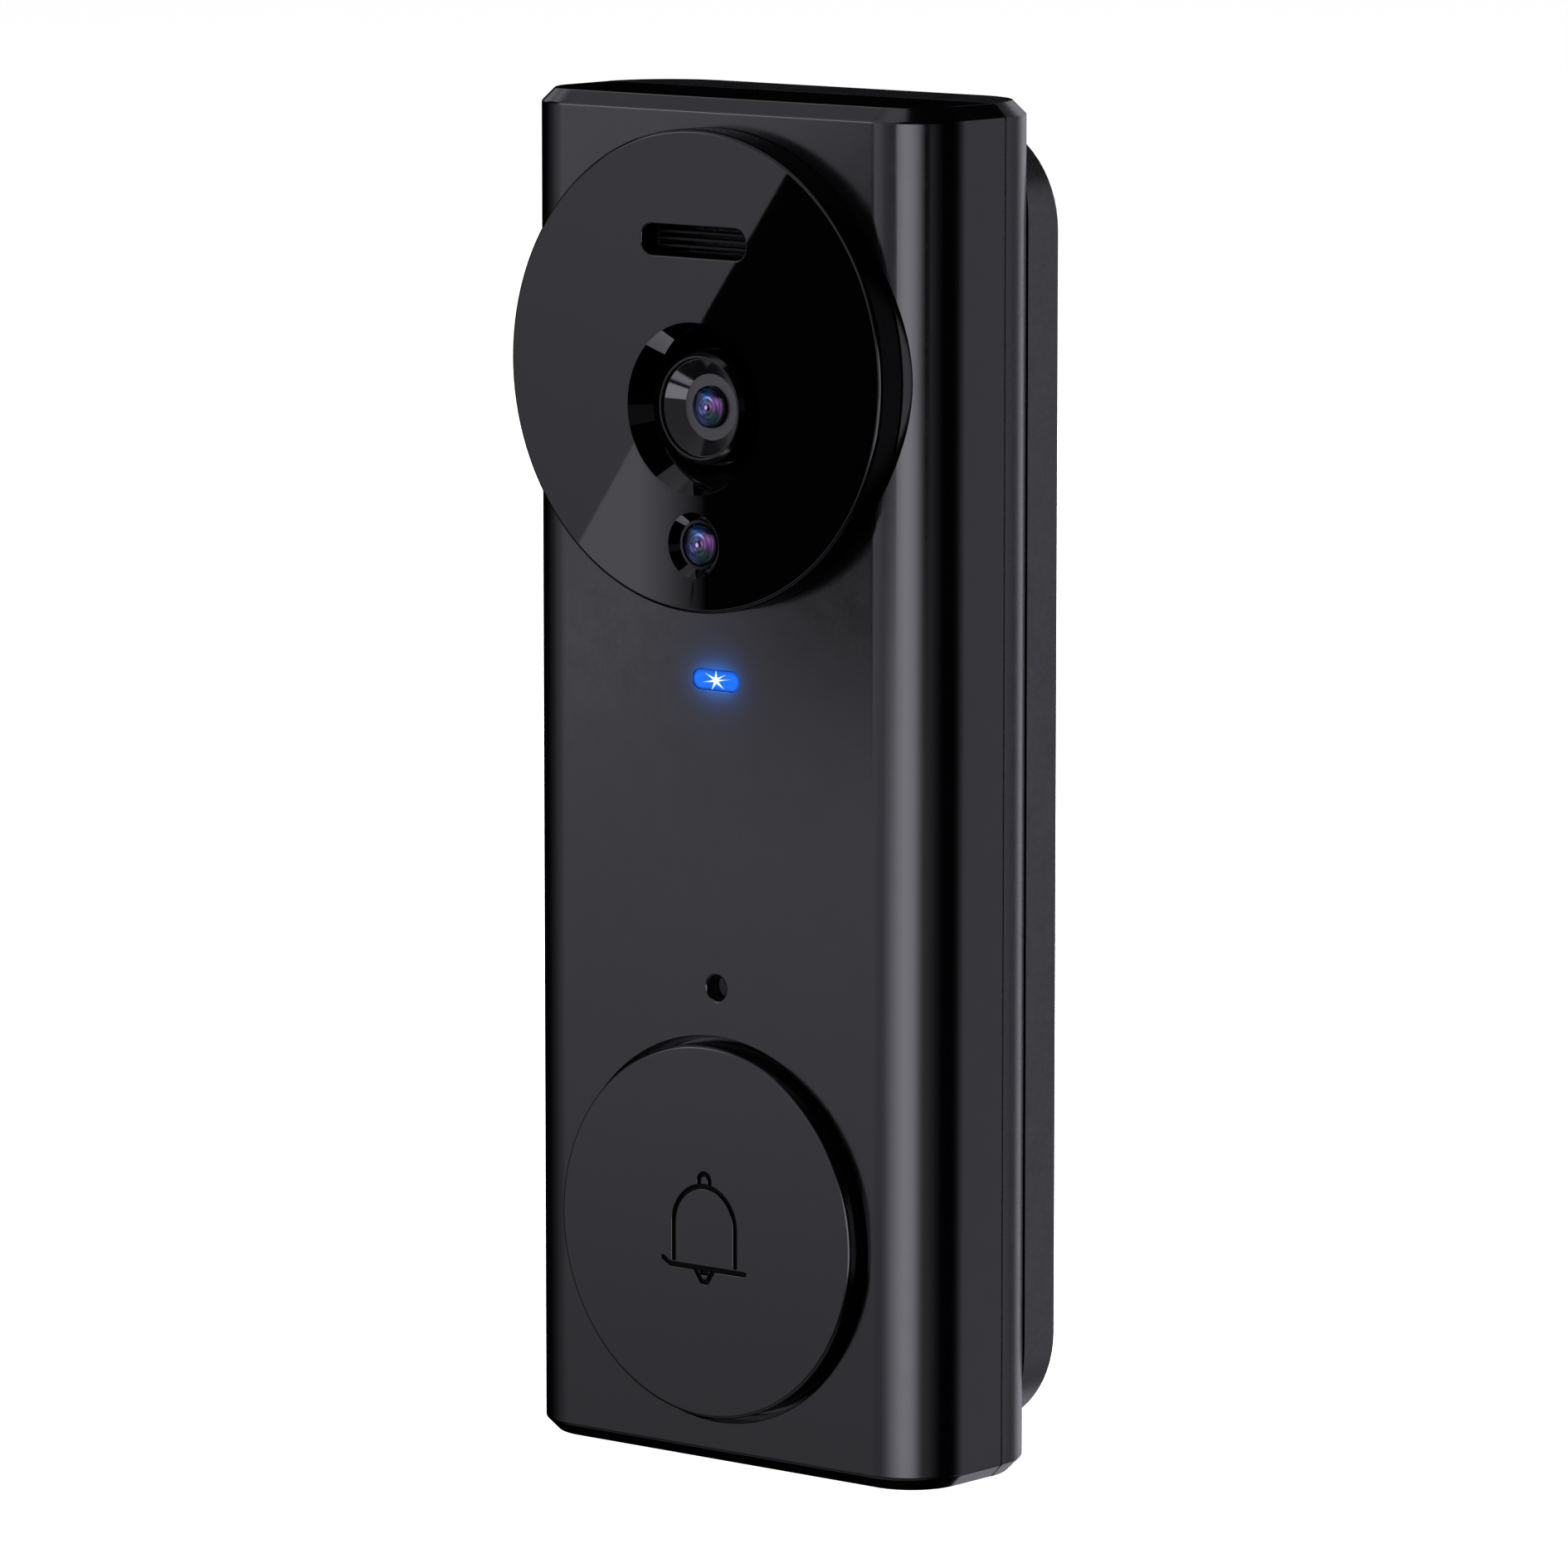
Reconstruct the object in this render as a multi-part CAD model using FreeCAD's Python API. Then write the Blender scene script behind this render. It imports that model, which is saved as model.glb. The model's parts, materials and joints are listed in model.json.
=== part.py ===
"""Battery video doorbell on its wall bracket: one STEP file per piece, in millimetres.

The wall is the plane y = 0. The front faces -Y, +Z is up and +X is to the right of someone facing
the doorbell. The origin is at the middle of the bracket's wall face.
"""
import FreeCAD, Part
import math
import os

# Housing
WIDTH = 54.0
HEIGHT = 140.0
DEPTH = 22.6
STANDOFF = 2.2           # wall to the housing's rear face
FRONT_RADIUS = 6.8       # upright front edges
REAR_RADIUS = 9.6        # upright rear edges, which start at the parting line
EDGE_CHAMFER = 1.4       # round the top and the bottom
WALL = 2.0
SEAM_GROOVE = 0.12       # depth and half width of the fine groove at the parting line
SLIP = 0.05              # between a round piece and its seat
GAP = 0.3                # between pieces that move apart

# Camera cover and what shows in it
DISK_RADIUS = 24.48
DISK_THICKNESS = 3.48
DISK_Z = 42.63
DISK_CHAMFER = 0.35
LENS_Z = 38.9
FUNNEL_RADIUS = 8.76
FUNNEL_DEPTH = 2.6
BEZEL_RADIUS = 9.0
BARREL_RADIUS = 5.7
GLASS_RADIUS = 2.1
GLASS_SPHERE = 6.0       # radius of the domed glass
LOWER_LENS_Z = 25.06
LOWER_FUNNEL_RADIUS = 3.36
LOWER_BEZEL_RADIUS = 3.7
LOWER_GLASS_RADIUS = 2.17
SLOT_WIDTH = 13.6
SLOT_HEIGHT = 3.05
SLOT_Z = 55.76
RIB_PITCH = 0.68

# Front of the housing
LIGHT_WIDTH = 6.2
LIGHT_HEIGHT = 2.1
LIGHT_Z = 10.98
MIC_HOLE_RADIUS = 1.25
MIC_Z = -20.65
MIC_RADIUS = 2.0
BUTTON_Z = -45.65
BUTTON_RADIUS = 19.25
BUTTON_HOLE_RADIUS = 20.0
BUTTON_PROUD = 1.94
BUTTON_TRAVEL = 0.7
PLUNGER_BACK = -18.4      # inner end of the bell switch's plunger
ICON_STROKE = 0.42
ICON_DEPTH = 0.3

# Wall bracket
BRACKET_INSET = 2.6
BRACKET_TOP = 67.4
BRACKET_BOTTOM = -67.87
BRACKET_RADIUS = 11.0
BRACKET_RIM = 5.2        # how far the rim could reach forward from the wall
HOOK_X = 13.0
HOOK_Z = 50.0
HOOK_WIDTH = 6.4
HOOK_STEM = 2.6
HOOK_LIP = 4.5
LIFT = 6.0               # upward travel that frees the hooks
WALL_SCREW_Z = 50.0
WALL_SCREW_RADIUS = 2.1

# Inside
BOARD_FRONT = -16.6
BOARD_THICKNESS = 1.2
CHASSIS_FRONT = -13.6
CHASSIS_THICKNESS = 1.0
SHELL_SCREW_X = 20.5
SHELL_SCREW_Z = 62.5
CHASSIS_SCREWS = [(-20.8, 40.0), (20.8, 40.0), (-20.8, -22.0), (20.8, -22.0)]
CAMERA_BOARD_SCREWS = [(-12.6, 44.8), (12.6, 44.8), (-12.6, 20.2), (12.6, 20.2)]
MAIN_BOARD_SCREWS = [(-15.5, 12.8), (15.5, 12.8), (-15.5, -23.0), (15.5, -23.0)]
BUTTON_BOARD_SCREWS = [(-19.5, -29.6), (19.5, -29.6), (-15.8, -64.6), (15.8, -64.6)]
POST_RADIUS = 2.0
PORT_Y = -18.2           # line of the charging port and the reset button on the bottom face
RESET_X = 11.5
COVER_X = -7.3           # hinge line of the charging port's cover
COVER_HINGE_RISE = 0.6

# Worked out from the above
BACK_Y = -STANDOFF
FRONT_Y = BACK_Y - DEPTH
SEAM_Y = BACK_Y - REAR_RADIUS
INNER_FRONT = FRONT_Y + WALL
INNER_BACK = BACK_Y - WALL
DISK_Y = FRONT_Y - DISK_THICKNESS
BUTTON_Y = FRONT_Y - BUTTON_PROUD
TOP_Z = HEIGHT / 2
BOARD_BACK = BOARD_FRONT + BOARD_THICKNESS
CHASSIS_BACK = CHASSIS_FRONT + CHASSIS_THICKNESS
PLATE_Y = BACK_Y + GAP   # front face of the bracket's plate
HINGE_Z = COVER_HINGE_RISE - TOP_Z
SHELL_SCREWS = [(x, z) for x in (-SHELL_SCREW_X, SHELL_SCREW_X) for z in (-SHELL_SCREW_Z, SHELL_SCREW_Z)]
HOOKS = [(x, z) for x in (-HOOK_X, HOOK_X) for z in (-HOOK_Z, HOOK_Z)]


def vec(x, y, z):
    return FreeCAD.Vector(x, y, z)


def block(x, y, z):
    """Box between the low and high values given for each axis."""
    return Part.makeBox(x[1] - x[0], y[1] - y[0], z[1] - z[0], vec(x[0], y[0], z[0]))


def rod(radius, y, x=0.0, z=0.0):
    """Cylinder along Y between two depths."""
    return Part.makeCylinder(radius, y[1] - y[0], vec(x, y[0], z), vec(0, 1, 0))


def tube(outer, inner, y, x=0.0, z=0.0):
    return rod(outer, y, x, z).cut(rod(inner, y, x, z))


def rods(radius, y, places):
    return [rod(radius, y, x, z) for x, z in places]


def pad(width, height, corner, y, x=0.0, z=0.0):
    """Rounded rectangle seen from the front, between two depths."""
    solid = block((x - width / 2, x + width / 2), y, (z - height / 2, z + height / 2))
    along = [edge for edge in solid.Edges if abs(edge.tangentAt(edge.FirstParameter).y) > 0.9]
    return solid.makeFillet(corner, along)


def turned(profile, x=0.0, z=0.0):
    """Solid turned about a line along Y from (radius, depth) points."""
    points = [vec(radius, y, 0) for radius, y in profile]
    face = Part.Face(Part.makePolygon(points + points[:1]))
    solid = face.revolve(vec(0, 0, 0), vec(0, 1, 0), 360)
    solid.translate(vec(x, 0, z))
    return solid


def lens(radius, sphere, apex, back, z):
    """Round glass with a domed front."""
    ball = Part.makeSphere(sphere, vec(0, apex + sphere, z))
    return rod(radius, (apex, back), 0, z).common(ball)


def joined(solids):
    """One clean solid from pieces that overlap."""
    return solids[0].multiFuse(solids[1:]).removeSplitter()


def body_block(inset, ends):
    """Housing outline made smaller by inset, with its top and bottom moved in by ends."""
    half = WIDTH / 2 - inset
    solid = block((-half, half), (FRONT_Y + inset, BACK_Y - inset), (ends - TOP_Z, TOP_Z - ends))
    for radius, face_y in ((FRONT_RADIUS, FRONT_Y + inset), (REAR_RADIUS, BACK_Y - inset)):
        upright = [edge for edge in solid.Edges if abs(edge.tangentAt(edge.FirstParameter).z) > 0.9]
        corner = [edge for edge in upright if abs(edge.CenterOfMass.y - face_y) < 0.01]
        solid = solid.makeFillet(radius - inset, corner)
    return solid


def chamfered_block(inset):
    solid = body_block(inset, inset)
    ends = [edge for edge in solid.Edges if edge.BoundBox.ZLength < 0.01]
    return solid.makeChamfer(EDGE_CHAMFER, ends)


def housing():
    """Outside of both shells, with the camera cover's pedestal and the groove at the parting line."""
    pedestal = rod(DISK_RADIUS, (FRONT_Y, FRONT_Y + FRONT_RADIUS), 0, DISK_Z)
    solid = joined([chamfered_block(0), pedestal])
    slab = block((-WIDTH, WIDTH), (SEAM_Y - SEAM_GROOVE, SEAM_Y + SEAM_GROOVE), (-HEIGHT, HEIGHT))
    return solid.cut(slab.cut(chamfered_block(SEAM_GROOVE)))


def seam_frame(outer_inset, inner_inset, y):
    """Rectangular ring that follows the housing at the parting line."""
    solids = []
    for inset in (outer_inset, inner_inset):
        half = WIDTH / 2 - inset
        solids.append(block((-half, half), y, (inset - TOP_Z, TOP_Z - inset)))
    return solids[0].cut(solids[1])


def port_recess():
    """Seat of the charging port's cover, with a groove for its knuckle and a fingernail notch."""
    bottom = -TOP_Z
    seat = block((COVER_X, 7.3), (PORT_Y - 3.2, PORT_Y + 3.2), (bottom, bottom + 1.2))
    groove = block((COVER_X - 0.9, COVER_X + 0.9), (PORT_Y - 3.2, PORT_Y + 3.2), (bottom, bottom + 1.5))
    notch = Part.makeCylinder(2.2, 0.6, vec(7.6, PORT_Y, bottom))
    return joined([seat, groove, notch])


def hinge_pin_rod(radius, half_length):
    return rod(radius, (PORT_Y - half_length, PORT_Y + half_length), COVER_X, HINGE_Z)


def front_shell():
    cavity = body_block(WALL, WALL)
    front = block((-WIDTH, WIDTH), (DISK_Y, SEAM_Y), (-HEIGHT, HEIGHT))
    shell = housing().cut(cavity).common(front)
    inside = (INNER_FRONT - WALL / 2, CHASSIS_FRONT)
    posts = rods(2.6, (inside[0], SEAM_Y), SHELL_SCREWS)
    posts += rods(2.4, inside, CHASSIS_SCREWS)
    for places in (CAMERA_BOARD_SCREWS, MAIN_BOARD_SCREWS, BUTTON_BOARD_SCREWS):
        posts += rods(POST_RADIUS, (inside[0], BOARD_FRONT), places)
    tongue = seam_frame(1.1, WALL, (SEAM_Y - 1.0, SEAM_Y + 1.1))
    shell = joined([shell, tongue] + posts)

    wall = (FRONT_Y - 0.1, INNER_FRONT + 0.1)
    bottom = -TOP_Z
    holes = [
        rod(BARREL_RADIUS + GAP, wall, 0, LENS_Z),
        rod(3.1, wall, 0, LOWER_LENS_Z),
        pad(11.0, 2.6, 0.8, wall, 0, SLOT_Z),
        pad(LIGHT_WIDTH + SLIP, LIGHT_HEIGHT + SLIP, LIGHT_HEIGHT / 2, wall, 0, LIGHT_Z),
        rod(MIC_HOLE_RADIUS, wall, 0, MIC_Z),
        Part.makeCone(MIC_HOLE_RADIUS + 0.3, MIC_HOLE_RADIUS, 0.3, vec(0, FRONT_Y, MIC_Z), vec(0, 1, 0)),
        rod(BUTTON_HOLE_RADIUS, wall, 0, BUTTON_Z),
        port_recess(),
        hinge_pin_rod(0.3, 3.9),
        block((-4.8, 4.8), (PORT_Y - 1.9, PORT_Y + 1.9), (bottom, bottom + WALL + 0.1)),
        Part.makeCylinder(1.55, WALL + 0.1, vec(RESET_X, PORT_Y, bottom)),
    ]
    holes += rods(1.0, (SEAM_Y - 3.5, SEAM_Y), SHELL_SCREWS)
    holes += rods(0.8, (CHASSIS_FRONT - 4.0, CHASSIS_FRONT), CHASSIS_SCREWS)
    for places in (CAMERA_BOARD_SCREWS, MAIN_BOARD_SCREWS, BUTTON_BOARD_SCREWS):
        holes += rods(0.7, (BOARD_FRONT - 3.5, BOARD_FRONT), places)
    for hole in holes:
        shell = shell.cut(hole)
    return shell


def rear_shell():
    rear = block((-WIDTH, WIDTH), (SEAM_Y, BACK_Y), (-HEIGHT, HEIGHT))
    outside = housing().common(rear)
    shell = outside.cut(body_block(WALL, WALL))
    shell = shell.cut(seam_frame(1.0, WIDTH / 2 - 0.5, (SEAM_Y, SEAM_Y + 2.0)))
    pieces = [shell]
    for x, z in SHELL_SCREWS:
        pieces.append(rod(2.9, (SEAM_Y, BACK_Y), x, z).common(outside))
    floor = INNER_BACK + 0.5
    for x, z in HOOKS:
        pieces.append(block((x - 4.7, x + 4.7), (-7.7, floor), (z - 9.2, z + 7.6)))
    for z in (-WALL_SCREW_Z, WALL_SCREW_Z):
        pieces.append(pad(11.6, 17.6, 5.7, (-5.8, floor), 0, z - LIFT / 2))
    shell = joined(pieces)
    back = BACK_Y + 0.1
    for x, z in SHELL_SCREWS:
        shell = shell.cut(rod(2.1, (-5.4, back), x, z))
        shell = shell.cut(rod(1.15, (SEAM_Y, -5.4), x, z))
    low = HOOK_STEM / 2 + LIFT + 0.7
    for x, z in HOOKS:
        across = (x - HOOK_WIDTH / 2 - GAP, x + HOOK_WIDTH / 2 + GAP)
        shell = shell.cut(block(across, (-6.5, back), (z - low, z + HOOK_STEM / 2 + GAP)))
        shell = shell.cut(block(across, (-6.5, INNER_BACK), (z - low, z + HOOK_STEM / 2 + HOOK_LIP + 0.6)))
    for z in (-WALL_SCREW_Z, WALL_SCREW_Z):
        shell = shell.cut(pad(9.4, 15.4, 4.6, (-4.4, back), 0, z - LIFT / 2))
    return shell


def shell_gasket():
    return seam_frame(1.05, WALL, (SEAM_Y + 1.1, SEAM_Y + 2.0))


def camera_cover():
    back = (DISK_Y - 0.1, FRONT_Y + 0.1)
    disk = rod(DISK_RADIUS, (DISK_Y, FRONT_Y), 0, DISK_Z)
    rim = [edge for edge in disk.Edges if abs(edge.BoundBox.YMax - DISK_Y) < 0.01]
    disk = disk.makeChamfer(DISK_CHAMFER, rim)
    slot = pad(SLOT_WIDTH, SLOT_HEIGHT, 1.3, back, 0, SLOT_Z)
    upper = rod(BEZEL_RADIUS + SLIP, back, 0, LENS_Z)
    lower = rod(LOWER_BEZEL_RADIUS + SLIP, back, 0, LOWER_LENS_Z)
    for hole in (slot, upper, lower):
        disk = disk.cut(hole)
    return disk.cut(tube(23.4, 21.5, (FRONT_Y - 0.3, FRONT_Y + 0.1), 0, DISK_Z))


def cover_adhesive():
    return tube(23.3, 21.6, (FRONT_Y - 0.3, FRONT_Y), 0, DISK_Z)


def speaker_grille():
    y = (DISK_Y + 2.1, FRONT_Y)
    plate = pad(SLOT_WIDTH - 0.1, SLOT_HEIGHT - 0.1, 1.25, y, 0, SLOT_Z)
    for step in (-1.5, -0.5, 0.5, 1.5):
        plate = plate.cut(pad(10.4, 0.34, 0.15, (y[0] - 0.1, y[1] + 0.1), 0, SLOT_Z + step * RIB_PITCH))
    return plate


def speaker_gasket():
    y = (INNER_FRONT, INNER_FRONT + 1.2)
    return pad(24.0, 15.0, 2.0, y, 0, SLOT_Z).cut(pad(20.0, 11.0, 1.5, y, 0, SLOT_Z))


def speaker():
    front = INNER_FRONT + 1.2
    frame = pad(24.0, 15.0, 2.0, (front, BOARD_FRONT - 0.3), 0, SLOT_Z)
    frame = frame.cut(pad(21.0, 12.0, 1.5, (front - 0.1, front + 1.6), 0, SLOT_Z))
    return frame


def speaker_diaphragm():
    front = INNER_FRONT + 1.6
    sheet = pad(20.8, 11.8, 1.4, (front + 0.8, front + 1.2), 0, SLOT_Z)
    cap = pad(12.0, 6.0, 2.9, (front + 0.2, front + 1.0), 0, SLOT_Z)
    return joined([sheet, cap])


def lens_bezel():
    floor = DISK_Y + FUNNEL_DEPTH
    inner = BARREL_RADIUS + GAP
    return turned([
        (FUNNEL_RADIUS, DISK_Y),
        (BEZEL_RADIUS, DISK_Y),
        (BEZEL_RADIUS, FRONT_Y),
        (inner, FRONT_Y),
        (inner, floor + 0.2),
        (inner + 0.2, floor),
    ], 0, LENS_Z)


def lens_barrel():
    front = DISK_Y + 0.88
    back = BOARD_FRONT - 1.8
    seat = -25.3
    return turned([
        (5.05, front),
        (5.3, front),
        (BARREL_RADIUS, front + 0.3),
        (BARREL_RADIUS, back),
        (3.6, back),
        (3.6, back - 0.5),
        (4.45, back - 0.5),
        (4.45, seat),
        (5.05, seat),
    ], 0, LENS_Z)


def lens_retainer():
    ring_y = DISK_Y + 2.4
    return turned([
        (5.0, -27.25),
        (5.0, -25.3),
        (GLASS_RADIUS + SLIP, -25.3),
        (GLASS_RADIUS + SLIP, ring_y),
        (3.36, ring_y),
        (4.85, -27.25),
    ], 0, LENS_Z)


def front_lens():
    dome = lens(GLASS_RADIUS, GLASS_SPHERE, DISK_Y + 2.0, -24.9, LENS_Z)
    return joined([dome, rod(4.4, (-25.25, -23.9), 0, LENS_Z)])


def lens_spacer():
    return tube(4.4, 3.6, (-23.9, -22.4), 0, LENS_Z)


def inner_lens():
    return lens(4.4, 9.0, -22.4, -20.6, LENS_Z)


def lens_holder():
    skirt = pad(15.0, 15.0, 1.0, (BOARD_FRONT - 3.0, BOARD_FRONT), 0, LENS_Z)
    sleeve = rod(7.1, (INNER_FRONT + 0.3, BOARD_FRONT - 2.5), 0, LENS_Z)
    holder = joined([skirt, sleeve])
    holder = holder.cut(rod(BARREL_RADIUS + SLIP, (FRONT_Y, BOARD_FRONT - 1.7), 0, LENS_Z))
    return holder.cut(pad(11.0, 11.0, 0.5, (BOARD_FRONT - 1.8, BOARD_FRONT), 0, LENS_Z))


def image_sensor():
    return pad(9.0, 9.0, 0.3, (BOARD_FRONT - 0.9, BOARD_FRONT), 0, LENS_Z)


def lower_bezel():
    floor = DISK_Y + 0.9
    inner = LOWER_GLASS_RADIUS + SLIP
    return turned([
        (LOWER_FUNNEL_RADIUS, DISK_Y),
        (LOWER_BEZEL_RADIUS, DISK_Y),
        (LOWER_BEZEL_RADIUS, FRONT_Y),
        (inner, FRONT_Y),
        (inner, floor),
        (inner + 0.3, floor),
    ], 0, LOWER_LENS_Z)


def lower_lens():
    return lens(LOWER_GLASS_RADIUS, GLASS_SPHERE, DISK_Y + 0.6, -25.3, LOWER_LENS_Z)


def lower_camera():
    nose = tube(2.9, 1.6, (FRONT_Y, -21.0), 0, LOWER_LENS_Z)
    box = pad(8.6, 8.6, 0.5, (-21.8, BOARD_FRONT), 0, LOWER_LENS_Z)
    return joined([nose, box])


def board(width, height, z, screws):
    plate = pad(width, height, 1.0, (BOARD_FRONT, BOARD_BACK), 0, z)
    for hole in rods(0.9, (BOARD_FRONT - 0.1, BOARD_BACK + 0.1), screws):
        plate = plate.cut(hole)
    return plate


def camera_board():
    return board(30.0, 29.6, 32.5, CAMERA_BOARD_SCREWS)


def main_board():
    return board(36.0, 41.2, -5.1, MAIN_BOARD_SCREWS)


def button_board():
    plate = board(44.0, 39.4, -46.9, BUTTON_BOARD_SCREWS)
    for x, z in SHELL_SCREWS:
        plate = plate.cut(rod(3.4, (BOARD_FRONT - 0.1, BOARD_BACK + 0.1), x, z))
    return plate


def ribbon(x, z):
    """Flat flexible cable across the gap between two boards, slack in the middle."""
    near = [(0.0, -4.0), (0.0, -1.5), (0.5, 0.0), (0.0, 1.5), (0.0, 4.0)]
    far = [(rise + 0.25, along) for rise, along in reversed(near)]
    points = [vec(x - 4.0, BOARD_BACK + rise, z + along) for rise, along in near + far]
    face = Part.Face(Part.makePolygon(points + points[:1]))
    return face.extrude(vec(8.0, 0, 0))


def camera_ribbon():
    return ribbon(0.0, 16.6)


def button_ribbon():
    return ribbon(-5.0, -26.5)


def status_light_pipe():
    pipe = pad(LIGHT_WIDTH, LIGHT_HEIGHT, LIGHT_HEIGHT / 2 - 0.01, (FRONT_Y, -19.2), 0, LIGHT_Z)
    flange = pad(8.2, 4.1, 1.0, (INNER_FRONT, INNER_FRONT + 1.0), 0, LIGHT_Z)
    return joined([pipe, flange])


def status_led():
    led = pad(3.5, 2.8, 0.3, (BOARD_FRONT - 1.9, BOARD_FRONT), 0, LIGHT_Z)
    cup = Part.makeCone(1.1, 0.8, 0.5, vec(0, BOARD_FRONT - 1.9, LIGHT_Z), vec(0, 1, 0))
    return led.cut(cup)


def mic_mesh():
    return rod(2.2, (INNER_FRONT, INNER_FRONT + 0.15), 0, MIC_Z)


def mic_boot():
    front = INNER_FRONT + 0.2
    return turned([
        (MIC_HOLE_RADIUS, front),
        (3.0, front),
        (3.0, BOARD_FRONT),
        (MIC_RADIUS + SLIP, BOARD_FRONT),
        (MIC_RADIUS + SLIP, front + 1.0),
        (MIC_HOLE_RADIUS, front + 1.0),
    ], 0, MIC_Z)


def microphone():
    front = INNER_FRONT + 1.2
    can = rod(MIC_RADIUS, (front, front + 1.5), 0, MIC_Z)
    pins = [rod(0.25, (front + 1.3, BOARD_FRONT), x, MIC_Z) for x in (-1.0, 1.0)]
    return joined([can.cut(rod(0.6, (front, front + 0.4), 0, MIC_Z))] + pins)


def stroke(x0, z0, x1, z1):
    """Straight cut of the bell outline, with round ends."""
    y = (BUTTON_Y - 0.1, BUTTON_Y + ICON_DEPTH)
    length = math.hypot(x1 - x0, z1 - z0)
    run = block((0, length), y, (-ICON_STROKE / 2, ICON_STROKE / 2))
    run.rotate(vec(0, 0, 0), vec(0, 1, 0), -math.degrees(math.atan2(z1 - z0, x1 - x0)))
    run.translate(vec(x0, 0, z0))
    return [run, rod(ICON_STROKE / 2, y, x0, z0), rod(ICON_STROKE / 2, y, x1, z1)]


def arch(radius, x, z):
    """Upper half of a round stroke."""
    y = (BUTTON_Y - 0.1, BUTTON_Y + ICON_DEPTH)
    ring = tube(radius + ICON_STROKE / 2, radius - ICON_STROKE / 2, y, x, z)
    reach = radius + ICON_STROKE
    return ring.common(block((x - reach, x + reach), y, (z, z + reach)))


def bell_outline():
    """Generic bell: domed body, small loop on top, rim with a turned-up end, and clapper."""
    z = BUTTON_Z
    side = 4.1
    cuts = [arch(side, 0, z + 0.65), arch(0.7, 0, z + 5.35)]
    for x in (-side, side):
        cuts += stroke(x, z - 3.15, x, z + 0.65)
    for x in (-0.7, 0.7):
        cuts += stroke(x, z + 4.85, x, z + 5.35)
    rim = z - 3.75
    cuts += stroke(-4.6, rim, 5.35, rim)
    cuts += stroke(-5.55, rim + 0.55, -4.6, rim)
    cuts += stroke(-1.3, rim, -0.45, rim - 1.4)
    cuts += stroke(1.3, rim, 0.45, rim - 1.4)
    cuts += stroke(-0.45, rim - 1.4, 0.45, rim - 1.4)
    return joined(cuts)


def bell_button():
    cap = turned([
        (0.0, BUTTON_Y),
        (BUTTON_RADIUS, BUTTON_Y),
        (BUTTON_RADIUS, -22.1),
        (21.0, -22.1),
        (21.0, -21.4),
        (17.9, -21.4),
        (17.9, BUTTON_Y + 1.6),
        (2.4, BUTTON_Y + 1.6),
        (2.4, -21.65),
        (0.0, -21.65),
    ], 0, BUTTON_Z)
    front = [edge for edge in cap.Edges if abs(edge.BoundBox.YMax - BUTTON_Y) < 0.01]
    rim = [edge for edge in front if edge.BoundBox.XLength > BUTTON_RADIUS]
    cap = cap.makeFillet(0.6, rim)
    return cap.cut(bell_outline())


def button_seal():
    ring = tube(21.4, BUTTON_RADIUS + GAP, (INNER_FRONT, INNER_FRONT + 0.4), 0, BUTTON_Z)
    return ring.common(body_block(WALL, WALL))


def button_spring():
    wire = 0.3
    start = BUTTON_Y + 1.65 + wire
    length = BOARD_FRONT - SLIP - wire - start
    helix = Part.makeHelix(length / 5, length, 5.3)
    ring = Part.Wire(Part.makeCircle(wire, vec(5.3, 0, 0), vec(0, 1, 0)))
    coil = Part.Wire(helix).makePipeShell([ring], True, True)
    coil.rotate(vec(0, 0, 0), vec(1, 0, 0), -90)
    coil.translate(vec(0, start, BUTTON_Z))
    return coil


def bell_switch():
    body = pad(6.2, 6.2, 0.4, (-20.0, BOARD_FRONT), 0, BUTTON_Z)
    return body.cut(rod(1.75 + SLIP, (-20.1, PLUNGER_BACK + BUTTON_TRAVEL + GAP), 0, BUTTON_Z))


def switch_plunger():
    return rod(1.75, (-21.6, PLUNGER_BACK), 0, BUTTON_Z)


def usb_socket():
    low = -TOP_Z + WALL + 0.2
    shell = block((-4.5, 4.5), (PORT_Y - 1.6, PORT_Y + 1.6), (low, low + 7.2))
    edges = [edge for edge in shell.Edges if abs(edge.tangentAt(edge.FirstParameter).z) > 0.9]
    shell = shell.makeFillet(1.3, edges)
    mouth = block((-4.1, 4.1), (PORT_Y - 1.25, PORT_Y + 1.25), (low - 0.1, low + 6.4))
    edges = [edge for edge in mouth.Edges if abs(edge.tangentAt(edge.FirstParameter).z) > 0.9]
    tongue = block((-3.3, 3.3), (PORT_Y - 0.35, PORT_Y + 0.35), (low + 0.6, low + 6.8))
    return joined([shell.cut(mouth.makeFillet(1.0, edges)), tongue])


def usb_cover():
    bottom = -TOP_Z
    knuckle = hinge_pin_rod(0.6, 2.9)
    leaf = block((COVER_X, 7.0), (PORT_Y - 2.9, PORT_Y + 2.9), (bottom, bottom + 0.9))
    plug = block((-4.1, 4.1), (PORT_Y - 1.4, PORT_Y + 1.4), (bottom + 0.5, bottom + 1.8))
    return joined([knuckle, leaf, plug]).cut(hinge_pin_rod(0.35, 3.0))


def usb_cover_pin():
    return hinge_pin_rod(0.3, 3.9)


def reset_button():
    bottom = -TOP_Z
    stem = Part.makeCylinder(1.5, 2.8, vec(RESET_X, PORT_Y, bottom + 0.3))
    flange = Part.makeCylinder(2.1, 0.6, vec(RESET_X, PORT_Y, bottom + WALL + GAP))
    return joined([stem, flange])


def reset_switch():
    low = -TOP_Z + 3.7
    box = block((RESET_X - 2.2, RESET_X + 2.2), (BOARD_FRONT - 3.2, BOARD_FRONT), (low, low + 3.4))
    nub = Part.makeCylinder(0.8, 0.4, vec(RESET_X, PORT_Y, low - 0.15))
    return joined([box, nub])


def processor_can():
    can = pad(14.0, 14.0, 0.6, (BOARD_FRONT - 1.5, BOARD_FRONT), 8.6, -3.2)
    return can.cut(pad(13.4, 13.4, 0.4, (BOARD_FRONT - 1.3, BOARD_FRONT), 8.6, -3.2))


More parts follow.
